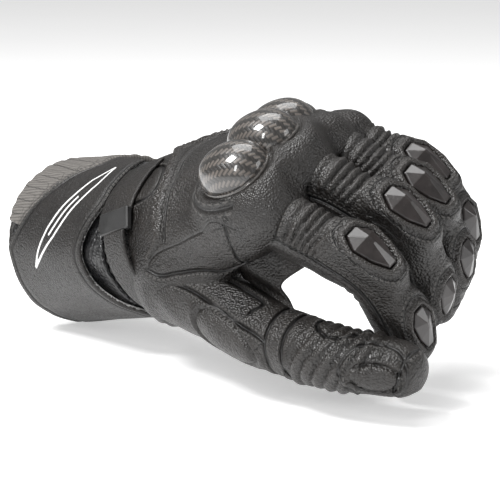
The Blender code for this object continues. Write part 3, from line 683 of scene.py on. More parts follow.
def pathTube(corners, cuts, side, radii, columns, step, startRow, look):
    # rings across a path: centre + r (0.92 cos a) side + r sin a (direction x side), and the end closes
    # on a half circle, r cos q at the distance r sin q
    path, far = roundedPath(corners, cuts)
    stations = [far[np.linalg.norm(path - corner, axis=1).argmin()] for corner in corners]
    total = far[-1]
    roundLength = radii[-1] * 1.05
    s = np.arange(startRow, total - roundLength, step)
    q = np.linspace(0, 1.5, 16)[1:]
    s = np.concatenate([s, total - roundLength + roundLength * np.sin(q)])
    shrink = np.concatenate([np.ones(len(s) - len(q)), np.cos(q) ** 0.85])
    centre = np.stack([np.interp(s, far, path[:, k]) for k in range(3)], -1)
    ahead = np.stack([np.interp(s + 0.6, far, path[:, k]) for k in range(3)], -1)
    behind = np.stack([np.interp(s - 0.6, far, path[:, k]) for k in range(3)], -1)
    direction = unit(ahead - behind)
    sides = np.broadcast_to(side, direction.shape)
    back = unit(np.cross(direction, sides))
    sides = unit(np.cross(back, direction))
    radius = np.interp(s, [0] + stations[1:-1] + [total], radii) * shrink
    radius = radius * mix(look.get("root", 1.0), 1.0, ease(0, stations[1] - 3, s))
    a = np.arange(columns) * 360 / columns
    t = np.radians(a)
    radial = 0.92 * np.cos(t)[None, :, None] * sides[:, None] + np.sin(t)[None, :, None] * back[:, None]
    points = centre[:, None] + radial * radius[:, None, None]
    return {
        "points": points, "radial": unit(radial), "s": s, "a": a, "stations": stations,
        "radius": radius, "shrink": shrink,
    }


def tubeLine(tube, corners, count=60, closed=False):
    # a line given as (distance along the tube, angle round it), read off its surface
    curve = smoothLine(corners, count, closed)
    row = np.interp(curve[:, 0], tube["s"], np.arange(len(tube["s"])))
    return sampleGrid(tube["points"], row, curve[:, 1] / 360 * len(tube["a"]))


def seatOn(tube, seat, look):
    # leather raised to a stud's base plane, with a padded frame round it. The height follows the distance d
    # from the stud's outline: a sunk bed, a rounded frame one to four mm out, a groove, then a soft slope
    local = (tube["points"] - seat["origin"]) @ seat["axes"].T
    d = outlineDistance(local[..., 0], local[..., 1], seat["outline"])
    facing = np.clip((tube["radial"] @ seat["axes"][2] - 0.15) / 0.35, 0, 1)
    profile = -0.5 + look["frame"] * window(d, look["inside"], look["outside"], 0.7) - 0.5 * hump(d - look["outside"] - 1.1, 0.6)
    hold = (1 - ease(look["outside"] + 0.8, look["outside"] + look["slope"], d)) * facing
    rise = (profile - local[..., 2]) * hold
    rise = np.where(rise < -2.5, rise * 0.3, rise)
    tube["points"] = tube["points"] + rise[..., None] * seat["axes"][2]
    tube["crest"] = np.maximum(tube["crest"], window(d, look["inside"], look["outside"], 0.5) * facing)


def stitchedRing(seat, grow, count=90):
    # the stud's outline grown outward and rounded, laid on the seat's plane
    outline = seat["outline"]
    middle = outline.mean(0)
    grown = middle + (outline - middle) * (1 + grow / np.linalg.norm(outline - middle, axis=1, keepdims=True))
    curve = smoothLine(np.c_[grown, np.zeros(len(grown))], count, closed=True)
    return curve @ seat["axes"] + seat["origin"]


studOutline = np.array([
    (-12.5, -3.6), (-5.5, -8.0), (4.0, -6.4), (12.5, -2.6),
    (12.5, 2.6), (4.0, 6.4), (-5.5, 8.0), (-12.5, 3.6),
])
fingerLooks = {
    "index": {
        "lean": (14, 8), "root": 0.74,
        "lengths": (50.6, 29.7, 30.0), "radii": (13.0, 12.1, 11.2),
        "flex": (48, 53, 32), "studs": (0.93, 0.92),
        "cuts": (13, 13, 9), "ribs": (13.5, 31.5), "ribTaper": 5.0, "ribArc": (58, 168), "ribCount": 5,
    },
    "middle": {
        "lean": (13, 8), "root": 0.74,
        "lengths": (55.0, 34.0, 31.0), "radii": (13.0, 12.1, 11.2),
        "flex": (52, 68, 41), "studs": (0.88, 0.84),
        "cuts": (13, 15, 10), "ribs": (11.0, 30.0), "ribTaper": 3.0, "ribArc": (50, 150), "ribCount": 5,
    },
    "ring": {
        "lean": (10, 8), "root": 0.74,
        "lengths": (51.7, 31.9, 30.5), "radii": (12.5, 11.6, 10.8),
        "flex": (55, 55, 33), "studs": (0.90, 0.76),
        "cuts": (13, 13, 9), "ribs": (12.0, 29.0), "ribTaper": 3.0, "ribArc": (48, 145), "ribCount": 5,
    },
    "little": {
        "lean": (8, 6), "root": 0.74,
        "lengths": (42.9, 26.4, 28.0), "radii": (11.5, 10.7, 10.0),
        "flex": (54, 46, 28), "studs": (0.86, 0.76),
        "cuts": (12, 11, 8), "ribs": (9.0, 22.0), "ribTaper": 2.0, "ribArc": (48, 140), "ribCount": 4,
    },
}
seatLook = {"inside": 0.9, "outside": 4.2, "frame": 1.7, "slope": 7.0}


def fingerSkeleton(name, look):
    # the finger's bones from its joints; the two ends are turned about the knuckle's axis by their flex
    knuckle, middle, tip = (jointPoint(name + part) for part in ("_knuckle_bend", "_mid_bend", "_tip_bend"))
    side = jointAxis(name + "_knuckle_bend")
    lower, upper = unit(middle - knuckle), unit(tip - middle)
    end = turnAbout(upper, side, look["flex"][2])
    start = turnAbout(lower, side, -look["flex"][0])
    return {
        "side": side, "start": start, "lower": lower, "upper": upper, "end": end,
        "corners": [knuckle - start * 26, knuckle, middle, tip, tip + end * look["lengths"][2]],
    }


def studSeat(look, bones, segment):
    # the stud leans a little with the bend that it lies on
    direction = turnAbout(bones[("lower", "upper")[segment]], bones["side"], look["lean"][segment])
    back = unit(np.cross(direction, bones["side"]))
    height = mix(look["radii"][segment], look["radii"][segment + 1], 0.6) + 0.3
    straight = bones[("lower", "upper")[segment]]
    upright = unit(np.cross(straight, bones["side"]))
    origin = bones["corners"][segment + 1] + straight * look["lengths"][segment] * look["studs"][segment]
    origin = origin + upright * height
    size = (0.86, 0.72)[segment]
    return {
        "origin": origin - back * 0.6,
        "axes": np.array([direction, bones["side"], back]),
        "outline": studOutline * np.array([size, size * 1.02]),
        "size": size,
    }


def ribHeights(s, start, end, count):
    # rounded ridges with sharp valleys: |sin|^0.7 of the place between start and end
    place = (s - start) / (end - start)
    return np.abs(np.sin(np.pi * count * place)) ** 0.7


def makeFinger(name, look):
    # tube height = folds + 2.3 ribs, less a bed of 0.8 under the ribs, with piped edges, seats and sewn lines
    bones = fingerSkeleton(name, look)
    radii = [look["radii"][0], *look["radii"], look["radii"][2] * 0.9]
    tube = pathTube(bones["corners"], look["cuts"], bones["side"], radii, 104, 0.75, 4.0, look)
    s, a = tube["s"][:, None], tube["a"][None]
    knuckleAt, middleAt, tipAt = tube["stations"][1:4]
    tube["crest"] = np.zeros(tube["points"].shape[:2])
    past = s - knuckleAt
    # soft folds of worn leather, deepest inside each bend
    folds = 0.35 * smoothNoise(tube["points"], 17, 5)
    inside = window(a, 215, 325, 25)
    for bend, depth in ((middleAt, 1.0), (tipAt, 0.8), (knuckleAt, 0.7)):
        beside = hump(s - bend - 6, 1.4) + hump(s - bend + 6, 1.4)
        folds = folds - depth * inside * hump(s - bend, 1.6) - 0.6 * depth * inside * beside
    first, last = look["ribs"]
    last = last - look["ribTaper"] * ease(95, 165, a)
    across = window(a, *look["ribArc"], 7)
    along = window(past, first, last, 0.4)
    ribs = ribHeights(past, first, last, look["ribCount"]) * across * along
    height = folds * tube["shrink"][:, None] + 2.3 * ribs - 0.8 * across * along
    # a double piped edge before the ribs and a single one after them
    for edge in (first - 1.9, first, last + 1.1):
        height = height + 0.75 * hump(past - edge, 0.62) * across
    height = height - 0.5 * hump(past - first + 0.95, 0.5) * across
    tube["crest"] = np.clip(ribs - 0.5, 0, 1) * 1.2 * across
    tube["points"] = tube["points"] + tube["radial"] * height[..., None]
    seats = [studSeat(look, bones, segment) for segment in (0, 1)]
    for seat in seats:
        seatOn(tube, seat, dict(seatLook, outside=4.0 * seat["size"] ** 1.5))
    end = tube["s"][-1]
    thumbSide = [
        (knuckleAt - 3, 182), (knuckleAt + 12, 174), (knuckleAt + 23, 170), (middleAt - 8, 176),
        (middleAt + 14, 172), (tipAt, 170), (end - 6, 160),
    ]
    farSide = [(knuckleAt - 3, 8), (knuckleAt + 14, 12), (middleAt, 8), (tipAt, 12), (end - 6, 20)]
    cap = [(tipAt + 9, 172), (tipAt + 11, 130), (tipAt + 12, 90), (tipAt + 11, 50), (tipAt + 9, 10)]
    beforeRibs = [(knuckleAt + first - off, angle) for off, angle in ((5.2, 165), (5.4, 110), (5.2, 55))]
    lines = [
        {"path": tubeLine(tube, thumbSide), "up": 1, "down": 0},
        {"path": tubeLine(tube, farSide), "up": 0, "down": 1},
        {"path": tubeLine(tube, cap), "up": 1, "down": 0},
        {"path": tubeLine(tube, beforeRibs), "up": 0, "down": 1},
    ]
    for seat in seats:
        lines.append({"path": stitchedRing(seat, 6.6 * seat["size"]), "up": 0, "down": 1, "dip": 0.8})
    facing = facingOut(tube["points"], gridNormals(tube["points"]))
    fields, lift = lineFields(tube["points"], facing, lines)
    lift = lift * np.minimum(1, tube["shrink"] * 1.5)[:, None]
    tube["points"] = tube["points"] + facing * lift[..., None]
    fields["crest"] = np.maximum(fields["crest"], tube["crest"])
    normals = facingOut(tube["points"], gridNormals(tube["points"]))
    firstCut = np.searchsorted(tube["s"], knuckleAt + last.min() + 1.8)
    secondCut = np.searchsorted(tube["s"], tipAt - 9.0)
    knuckle, middle, tip = bones["corners"][1:4]
    lower, upper, tipward = bones["lower"], bones["upper"], bones["end"]
    parts = (
        ("LowerSkin", slice(0, firstCut + 1), ("hand", "_lower"), knuckle - 2 * lower, knuckle + 10 * lower,
         ("_knuckle_bellows", "_lower_sleeve")),
        ("MiddleSkin", slice(firstCut, secondCut + 1), ("_lower", "_upper"), middle + upper, middle + 11 * upper,
         ("_mid_bellows", "_upper_sleeve")),
        ("TipSkin", slice(secondCut, None), ("_upper", "_tip"), tip, tip + 9 * tipward,
         ("_tip_bellows", "_fingertip")),
    )
    for label, rows, bodies, start, end, nodes in parts:
        kept = {key: field[rows] for key, field in fields.items()}
        piece = tubePiece(name + label, tube["points"][rows], leathers["back leather"], kept, normals[rows])
        bodies = [body if body == "hand" else name + body for body in bodies]
        start * metresPerMm
        end * metresPerMm
        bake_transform(piece)
        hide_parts(*[name + node for node in nodes])
    for segment, seat in enumerate(seats):
        makeStud(name, segment, seat)


def makeStud(name, segment, seat):
    # eight-sided outline with a low upright rim, whose facets run up to a short ridge
    outline = seat["outline"]
    count = len(outline)
    size = seat["size"]
    levels = [(1.0, -1.4), (1.0, 0.9), (0.94, 1.35)]
    rings = [np.c_[outline * scale, np.full(count, z)] for scale, z in levels]
    ridge = np.array([[-4.6, -0.9, 5.6], [-0.5, -0.9, 5.2], [-0.5, 0.9, 5.2], [-4.6, 0.9, 5.6]]) * size
    verts = np.concatenate(rings + [ridge])
    faces = []
    for k in range(2):
        for i in range(count):
            j = (i + 1) % count
            faces.append((k * count + i, k * count + j, (k + 1) * count + j, (k + 1) * count + i))
    top, crown = 2 * count, 3 * count
    near = [0, 0, 1, 1, 2, 2, 3, 3]
    triangles = []
    for i in range(count):
        j = (i + 1) % count
        a, b = crown + near[i], crown + near[j]
        triangles.append((top + i, top + j, b))
        if a != b:
            triangles.append((top + i, b, a))
    faces.append((crown, crown + 1, crown + 2, crown + 3))
    floor = [tuple(range(count))[::-1]]
    faces = [np.array(faces), np.array(triangles), np.array(floor)]
    world = verts @ seat["axes"] + seat["origin"]
    if volumeSign(world, faces) < 0:
        faces = [face[:, ::-1] for face in faces]
    piece = addObject(name + ("Lower", "Upper")[segment] + "StudCap", world, faces, studPlastic, smooth=False)
    bevel = piece.modifiers.new("rounded edges", "BEVEL")
    bevel.width = 0.00032
    bevel.segments = 2
    bevel.limit_method = "ANGLE"
    bevel.angle_limit = math.radians(12)
    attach(piece, name + ("_lower", "_upper")[segment])
    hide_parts(name + ("_lower_stud", "_upper_stud")[segment])


for name, look in fingerLooks.items():
    makeFinger(name, look)
print("glove: four fingers and eight studs made")

thumbLook = {
    "base": (44.0, -27.0, -17.0), "tip": 38.0, "flex": 25, "radii": (18.0, 14.8, 13.4, 12.4),
    # each pad: station along the thumb, angle round it, half length and width, height, lean
    "basePad": (46.0, 104, (18.0, 9.6), 2.2, 16), "tipPad": (20.0, 98, (10.5, 6.0), 1.7, 0),
}


def padOval(tube, centreRow, centreAngle, half, rise, lean):
    # oval cushion on the tube: distance r in the oval's own measure, crowned inside, with a sunk rim
    s, a = tube["s"][:, None], tube["a"][None]
    around = (a - centreAngle + 180) % 360 - 180
    u, v = s - centreRow, np.radians(around) * tube["radius"][:, None]
    c, n = math.cos(math.radians(lean)), math.sin(math.radians(lean))
    u, v = (u * c + v * n) / half[0], (v * c - u * n) / half[1]
    r = np.sqrt(u**2 + v**2)
    d = (r - 1) * min(half)
    crown = rise * np.sqrt(np.clip(1 - np.minimum(r, 1) ** 2.6, 0, 1))
    rim = -0.8 * hump(d, 0.7) + 0.9 * hump(d - 1.6, 0.9)
    return crown + rim, 1 - ease(0.85, 1.0, r)


def makeThumb(look):
    # tube height = folds + 1.9 ribs, less a bed of 0.6 under them, with two oval pads and the sewn lines
    base = np.array(look["base"])
    knuckle, joint = jointPoint("thumb_knuckle_bend"), jointPoint("thumb_tip_bend")
    side = jointAxis("thumb_knuckle_bend")
    along, lower = unit(knuckle - base), unit(joint - knuckle)
    end = turnAbout(lower, side, look["flex"])
    corners = [base - along * 6, knuckle, joint, joint + end * look["tip"]]
    tube = pathTube(corners, (8, 11), side, list(look["radii"]), 132, 0.75, 0.0, look)
    s, a = tube["s"][:, None], tube["a"][None]
    knuckleAt, jointAt = tube["stations"][1:3]
    end0 = tube["s"][-1]
    inside = window(a, 225, 325, 25)
    folds = 0.45 * smoothNoise(tube["points"], 19, 9)
    for bend in (knuckleAt, jointAt):
        folds = folds - 0.8 * inside * (hump(s - bend, 1.6) + 0.6 * hump(s - bend - 6, 1.4))
    first, last = knuckleAt + 24.5, knuckleAt + 49.0
    outer = np.clip(1 - window(a, 215, 325, 22), 0, 1)
    # the ridges lean round the thumb: each stands 6 cos a further along
    leaned = s - 6 * np.cos(np.radians(a))
    ribs = ribHeights(leaned, first, last, 5) * window(leaned, first, last, 0.4) * outer
    height = folds * tube["shrink"][:, None] + 1.9 * ribs - 0.6 * window(leaned, first, last, 0.6) * outer
    for edge in (first - 3.4, last + 3.2):
        height = height + 0.7 * hump(leaned - edge, 0.7) * outer
    basePad, baseMask = padOval(tube, *look["basePad"])
    pastJoint, *tipPlace = look["tipPad"]
    tipPad, tipMask = padOval(tube, jointAt + pastJoint, *tipPlace)
    height = height + basePad + tipPad
    tube["points"] = tube["points"] + tube["radial"] * height[..., None]
    cross = [(knuckleAt + 8, 205), (knuckleAt + 9, 120), (knuckleAt + 8, 60), (knuckleAt + 5, 0), (knuckleAt + 3, -40)]
    top = [(8, 62), (22, 58), (40, 62), (knuckleAt, 70), (knuckleAt + 8, 78)]
    farSide = [(knuckleAt + 8, 10), (knuckleAt + 16, 2), (first, 352), (last, 352), (end0 - 4, 8)]
    nearSide = [(last + 3, 196), (jointAt + 24, 186), (end0 - 4, 170)]
    gusset = [(4, 30), (14, 20), (30, 12), (knuckleAt - 7, 10), (knuckleAt - 6, 40)]
    aroundPad = [
        (jointAt + 6.5, 92), (jointAt + 11, 44), (jointAt + 20, 28), (jointAt + 29, 42),
        (jointAt + 33.0, 90), (jointAt + 29, 146), (jointAt + 20, 160), (jointAt + 11, 146),
    ]
    lines = [
        {"path": tubeLine(tube, cross), "up": 0, "down": 1},
        {"path": tubeLine(tube, top), "up": 1, "down": 1},
        {"path": tubeLine(tube, farSide), "up": 0, "down": 1},
        {"path": tubeLine(tube, nearSide), "up": 1, "down": 0},
        {"path": tubeLine(tube, aroundPad, 90, True), "up": 0, "down": 1, "dip": 0.7},
        {"path": tubeLine(tube, gusset), "up": 1, "down": 0},
    ]
    facing = facingOut(tube["points"], gridNormals(tube["points"]))
    fields, lift = lineFields(tube["points"], facing, lines)
    lift = lift * np.minimum(1, tube["shrink"] * 1.5)[:, None] * (1 - np.maximum(baseMask, tipMask))
    tube["points"] = tube["points"] + facing * lift[..., None]
    fields["crest"] = np.maximum(fields["crest"], np.clip(ribs - 0.5, 0, 1) * 1.2)
    fields["crest"] = np.maximum(fields["crest"], np.maximum(baseMask, tipMask) * 0.45)
    normals = facingOut(tube["points"], gridNormals(tube["points"]))
    cut = np.searchsorted(tube["s"], knuckleAt + 20)
    spans = (
        ("thumbBaseSkin", slice(0, cut + 1), ("hand", "thumb_lower"), knuckle - 5 * lower, knuckle + 8 * lower,
         ("thumb_base_sleeve", "thumb_knuckle_bellows", "thumb_lower_sleeve", "thumb_base_pad")),
        ("thumbTipSkin", slice(cut, None), ("thumb_lower", "thumb_tip"), joint - 8 * lower, joint + 8 * lower,
         ("thumb_tip_bellows", "thumb_tip_sleeve", "thumb_tip_pad")),
    )
    for label, rows, bodies, start, stop, nodes in spans:
        kept = {key: field[rows] for key, field in fields.items()}
        piece = tubePiece(label, tube["points"][rows], leathers["back leather"], kept, normals[rows])
        start * metresPerMm
        stop * metresPerMm
        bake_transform(piece)
        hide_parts(*nodes)
    return base, along


thumbBase, thumbAlong = makeThumb(thumbLook)
print("glove: thumb made")

# ---- knuckle armour ----
domeLooks = {
    "index": {"setback": 10.0, "sink": 0.0, "scale": 1.0, "spread": 0.84, "tilt": 13, "radius": 13.0},
    "middle": {"setback": 11.0, "sink": 0.8, "scale": 1.0, "spread": 0.84, "tilt": 1, "radius": 13.0},
    "ring": {"setback": 12.5, "sink": 2.2, "scale": 0.93, "spread": 0.84, "tilt": -11, "radius": 12.5},
    "little": {"setback": 14.2, "sink": 3.0, "scale": 0.84, "spread": 0.73, "tilt": -22, "radius": 11.5},
}
domeSize = {"length": 34.0, "width": 27.5, "height": 11.8, "pitch": 6, "rise": 6.2}


def domeFrame(name, look):
    x, y, _ = jointPoint(name + "_knuckle_bend") @ handTurn
    y = mix(3.5, y, look["spread"])
    origin = np.array([x - look["setback"], y, archHeight(y) + look["radius"] + domeSize["rise"] - look["sink"]])
    return handTurn @ origin, (handTurn @ turnMatrix(look["tilt"], domeSize["pitch"], 0)).T


def makeDome(name, look):
    # half an egg: rings at x = a cos t cos p, y = b cos t sin p, z = h sin t^1.1, blunter towards the
    # fingers, with a thin turned-out lip at its foot
    origin, axes = domeFrame(name, look)
    half = np.array([domeSize["length"], domeSize["width"]]) / 2 * look["scale"]
    height = domeSize["height"] * look["scale"]
    t = np.linspace(0.0, np.pi / 2 - 0.02, 44)
    ring, z = np.cos(t) ** 0.9, height * np.sin(t) ** 1.05
    lipRing = np.array([1.0, 1.02, 1.035, 1.04, 1.035, 1.02, 1.006])
    lipZ = np.array([-2.4, -2.4, -2.1, -1.5, -1.0, -0.72, -0.5])
    ring, z = np.concatenate([lipRing, ring]), np.concatenate([lipZ, z])
    p = np.radians(np.arange(0, 360, 3.0))
    x = ring[:, None] * half[0] * np.cos(p) * (1 - 0.06 * np.cos(p))
    y = ring[:, None] * half[1] * np.sin(p) * (1 + 0.05 * np.cos(p))
    local = np.stack([x, y, np.broadcast_to(z[:, None], x.shape)], -1)
    # arc length from the top keeps the weave from stretching down the sides
    reach = np.sqrt(x**2 + y**2)
    steps = np.sqrt(np.diff(reach, axis=0) ** 2 + np.diff(local[..., 2], axis=0) ** 2)
    down = np.concatenate([np.cumsum(steps[::-1], axis=0)[::-1], np.zeros((1, len(p)))])
    turn = np.arctan2(y, x) + math.radians(38)
    crest = np.zeros(x.shape)
    crest[1:6] = 1.0
    fields = {"weaveU": down * np.cos(turn), "weaveV": down * np.sin(turn), "crest": crest}
    points = local @ axes + origin
    piece = tubePiece(name + "Dome", points, carbon, fields)
    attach(piece, "hand")
    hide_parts("knuckle_guard")


for name, look in domeLooks.items():
    makeDome(name, look)
print("glove: knuckle domes made")


# ---- hand skin ----
def domeLift(points, normals):
    # leather bed of the armour: lifted to the foot of each dome, with a padded border round it
    total = np.zeros(points.shape)
    best = np.zeros(points.shape[:2])
    nearest = np.full(points.shape[:2], 30.0)
    for name, look in domeLooks.items():
        origin, axes = domeFrame(name, look)
        half = np.array([domeSize["length"], domeSize["width"]]) / 2 * look["scale"]
        local = (points - origin) @ axes.T
        r = np.hypot(local[..., 0] / half[0], local[..., 1] / half[1])
        d = (r - 1) * half.mean()
        facing = np.clip((normals @ axes[2] - 0.1) / 0.3, 0, 1)
        target = -1.9 + 1.3 * window(d, 1.5, 5.2, 0.8) - 0.5 * ease(5.2, 9.0, d)
        lift = (target - local[..., 2]) * (1 - ease(5.0, 13.0, d)) * facing
        lift = np.where(lift > best, lift, 0)
        better = lift > best
        total[better] = (lift[..., None] * axes[2])[better]
        best = np.maximum(best, lift)
        nearest = np.where(facing > 0.2, np.minimum(nearest, d), nearest)
    return total, nearest


handLook = {
    "rows": 116, "columns": 300, "nose": 9.0, "pocket": 0.62, "wall": 2.0, "fingerReach": 34.0,
    "thumbRadii": (18.5, 13.0), "armourSeam": 6.6,
    # sewn lines: corners as (share of the way from wrist to knuckles, angle round the hand)
    "seams": (
        {"count": 90, "ridge": 1.9, "dip": 0, "corners": [
            (0.43, 60), (0.36, 64), (0.27, 66), (0.19, 68), (0.17, 78), (0.24, 90), (0.30, 104),
            (0.33, 120), (0.36, 140), (0.37, 156), (0.31, 168)]},
        {"count": 90, "ridge": 1.5, "dip": 0, "corners": [
            (0.455, 58), (0.385, 63), (0.295, 68), (0.225, 72), (0.21, 80), (0.27, 92), (0.325, 106),
            (0.352, 121), (0.383, 141), (0.39, 157)]},
        {"count": 90, "up": 1, "down": 1, "dip": 0.7, "corners": [
            (0.51, 55), (0.45, 61), (0.36, 71), (0.32, 84), (0.37, 104), (0.40, 122), (0.425, 142), (0.43, 158)]},
        {"count": 90, "ridge": 0.5, "dip": 0.6, "corners": [
            (0.285, 175), (0.34, 169), (0.42, 166), (0.55, 164), (0.70, 160), (0.81, 158), (0.92, 160), (1.0, 164)]},
        {"count": 90, "down": 1, "corners": [
            (0.285, 175), (0.36, 180), (0.47, 182), (0.60, 185), (0.70, 190), (0.82, 204), (0.92, 208), (1.0, 210)]},
        {"count": 50, "up": 1, "down": 1, "corners": [(0.20, 236), (0.28, 248), (0.44, 246), (0.56, 238)]},
        {"count": 60, "up": 1, "corners": [
            (0.12, 212), (0.24, 206), (0.33, 206), (0.36, 216), (0.33, 230), (0.34, 248)]},
        {"count": 60, "closed": True, "up": 1, "corners": [
            (0.04, 112), (0.07, 98), (0.17, 92), (0.25, 100), (0.27, 116), (0.18, 122), (0.06, 120)]},
        {"count": 70, "up": 1, "down": 1, "corners": [(0.06, 352), (0.3, 354), (0.6, 356), (0.85, 358), (1.0, 0)]},
        {"count": 90, "closed": True, "up": 1, "corners": [
            (0.10, 300), (0.22, 282), (0.42, 278), (0.56, 292), (0.58, 318), (0.46, 338), (0.24, 338), (0.12, 324)]},
        {"count": 60, "up": 1, "corners": [(0.74, 215), (0.70, 250), (0.70, 290), (0.74, 335)]},
        {"count": 120, "up": 1, "down": 1, "dip": 0.4, "corners": [
            (0.015, 0), (0.015, 120), (0.015, 240), (0.015, 359)]},
    ),
}


def makeHand(look):
    # the hand's oval, pushed out to the finger roots and the armour's bed, then sewn
    along = np.linspace(0, 1, look["rows"])
    a = np.arange(0, 360, 360 / look["columns"])
    local = handLocal(*np.meshgrid(along, a, indexing="ij"))
    # rounded front end, hidden among the finger roots: the last ring shrinks on a quarter circle
    q = np.linspace(0, np.pi / 2, 16)[1:, None]
    last = local[-1][None]
    middle = archHeight(last[..., 1])
    nose = np.stack([
        last[..., 0] + look["nose"] * np.sin(q),
        3.5 + (last[..., 1] - 3.5) * (1 - 0.1 * (1 - np.cos(q))),
        middle + (last[..., 2] - middle) * np.cos(q) * 0.98 - 2.5 * np.sin(q),
    ], -1)
    outer = np.concatenate([local, nose]) @ handTurn.T
    normals = facingOut(outer, gridNormals(outer))
    capsules = []
    for name, finger in fingerLooks.items():
        bones = fingerSkeleton(name, finger)
        knuckle, start, radius = bones["corners"][1], bones["start"], finger["radii"][0]
        rear = knuckle - start * look["fingerReach"]
        capsules.append((rear, knuckle + start * 0.5, radius - 0.5, radius + 0.9, 8.0))
    capsules.append((thumbBase - thumbAlong * 12, thumbBase + thumbAlong * 30, *look["thumbRadii"], 12.0))
    rise = np.zeros(outer.shape[:2])
    for _ in range(4):
        moved = outer + normals * rise[..., None]
        value = rise
        for start, end, startRadius, endRadius, softness in capsules:
            value = smoothMin(value, capsuleDistance(moved, start, end, startRadius, endRadius), softness)
        rise = np.clip(rise - value, 0, 13)
    fade = ease(0, 0.12, np.linspace(0, 1, len(outer)))[:, None]
    outer = outer + normals * (rise * fade)[..., None]
    # soft hollows of a worn back, from two layers of uneven noise
    outer = outer + normals * (0.55 * smoothNoise(outer, 34, 3) + 0.2 * smoothNoise(outer, 13, 4))[..., None]
    normals = facingOut(outer, gridNormals(outer))
    lift, domeAway = domeLift(outer, normals)
    outer = outer + lift
    normals = facingOut(outer, gridNormals(outer))
    lines = []
    for seam in look["seams"]:
        curve = smoothLine(seam["corners"], seam["count"], seam.get("closed", False))
        path = sampleGrid(outer, curve[:, 0] * (len(along) - 1), curve[:, 1] / 360 * len(a))
        lines.append(dict(seam, path=path))
    fields, sewn = lineFields(outer, normals, lines)
    # the armour's double row of stitches follows the distance from the domes
    off = domeAway - look["armourSeam"]
    around = (np.abs(off) < 4.5) & (np.arange(len(outer))[:, None] < len(along))
    closer = around & (np.abs(off) < np.abs(fields["seam"]) * 0.9 + 0.2)
    centre, _ = domeFrame("ring", domeLooks["ring"])
    swing = np.arctan2(*((outer - centre) @ handTurn)[..., 1::-1].transpose(2, 0, 1))
    armour = {"seam": off, "run": swing * 30, "near": 1 - ease(2.6, 4.3, np.abs(off)), "up": 1.0, "down": 1.0, "dip": 0.8}
    for key, value in armour.items():
        fields[key] = np.where(closer, value, fields[key])
    sewn = np.where(closer, -0.45 * hump(off, 0.8), sewn)
    outer = outer + normals * sewn[..., None]
    # inner wall, from the blind end of the hand's pocket out to the wrist and round its edge
    insideRows = np.linspace(look["pocket"], 0.0, 26)
    inner = handLocal(*np.meshgrid(insideRows, a, indexing="ij"), -look["wall"])
    edge = handLocal(*np.meshgrid([0.0], a, indexing="ij"), -look["wall"] / 2) - np.array([0.9, 0, 0])
    wall = np.concatenate([inner, edge]) @ handTurn.T
    kept = {}
    for key, field in fields.items():
        blank = np.full(wall.shape[:2], farFromSeam if key == "seam" else 0.0)
        kept[key] = np.concatenate([blank, field])
    piece = tubePiece("handSkin", np.concatenate([wall, outer]), leathers["back leather"], kept)
    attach(piece, "hand")
    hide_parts("hand_back_panel", "palm_panel", "knuckle_pad")


makeHand(handLook)
print("glove: hand made")


# ---- wrist strap, its loop and keeper ----
def handBand(arc, span, lift, columns=90, rows=18):
    # a strip over the wrist between two stations, standing off the hand by lift
    u, a = np.meshgrid((np.linspace(*span, rows) - 3) / 92.0, np.linspace(*arc, columns), indexing="ij")
    local = handLocal(u, a, lift)
    local[..., 0] = np.linspace(*span, rows)[:, None]
    return local @ handTurn.T


def edgeFields(grid, inset, rows=(True, True), columns=(False, False)):
    # stitch rows parallel to the edges of an open grid, at the inset from each edge that is asked for
    rowStep = np.linalg.norm(grid[1] - grid[0], axis=-1).mean()
    columnStep = np.linalg.norm(grid[:, 1] - grid[:, 0], axis=-1).mean()
    i, j = max(1, round(inset / rowStep)), max(1, round(inset / columnStep))
    choices = (
        (rows[0], grid[i, :], 1, 0), (rows[1], grid[-1 - i, :], 0, 1),
        (columns[0], grid[i:-i, j], 0, 1), (columns[1], grid[i:-i, -1 - j], 1, 0),
    )
    lines = [{"path": path, "up": up, "down": down, "dip": 0.5} for wanted, path, up, down in choices if wanted]
    return lineFields(grid, gridNormals(grid, wrapped=False), lines)


def sheetArea(grid):
    # sum of |a x b| over the grid's cells, in square metres
    a, b = grid[1:, :-1] - grid[:-1, :-1], grid[:-1, 1:] - grid[:-1, :-1]
    return np.linalg.norm(np.cross(a, b), axis=-1).sum() * metresPerMm**2


# arc in degrees round the wrist, span in millimetres along it
bandLooks = {
    "wristStrap": {
        "arc": (144, 258), "span": (4.5, 17.5), "lift": 3.2, "grid": (90, 18), "thickness": 2.2, "inset": 1.7,
        "ends": (True, True), "press": 0.7, "swell": 0.15, "leather": "flap leather", "body": "strap",
        "replaces": "wrist_strap",
    },
    "strapKeeper": {
        "arc": (261, 280), "span": (4.5, 18.0), "lift": 3.0, "grid": (24, 18), "thickness": 2.2, "inset": 1.7,
        "ends": (False, False), "press": 0.7, "swell": 0.0, "leather": "flap leather", "body": "hand",
        "replaces": "strap_keeper",
    },
    "strapAnchor": {
        "arc": (88, 136), "span": (-3.4, 19.0), "lift": 1.5, "grid": (60, 30), "thickness": 1.6, "inset": 2.0,
        "ends": (True, True), "press": 1.0, "swell": 0.0, "leather": "palm leather", "body": "hand",
        "replaces": None,
    },
}
for name, look in bandLooks.items():
    grid = handBand(look["arc"], look["span"], look["lift"], *look["grid"])
    fields, lift = edgeFields(grid, look["inset"], columns=look["ends"])
    lift = lift * look["press"] + look["swell"]
    band = sheetPiece(name, grid, look["thickness"], leathers[look["leather"]], fields, lift)
    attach(band, look["body"])
    if look["replaces"]:
        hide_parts(look["replaces"])

loop = frame["nodes"]["strap_loop"]
loop.data.materials.clear()
loop.data.materials.append(loopPlastic)
print("glove: strap made")


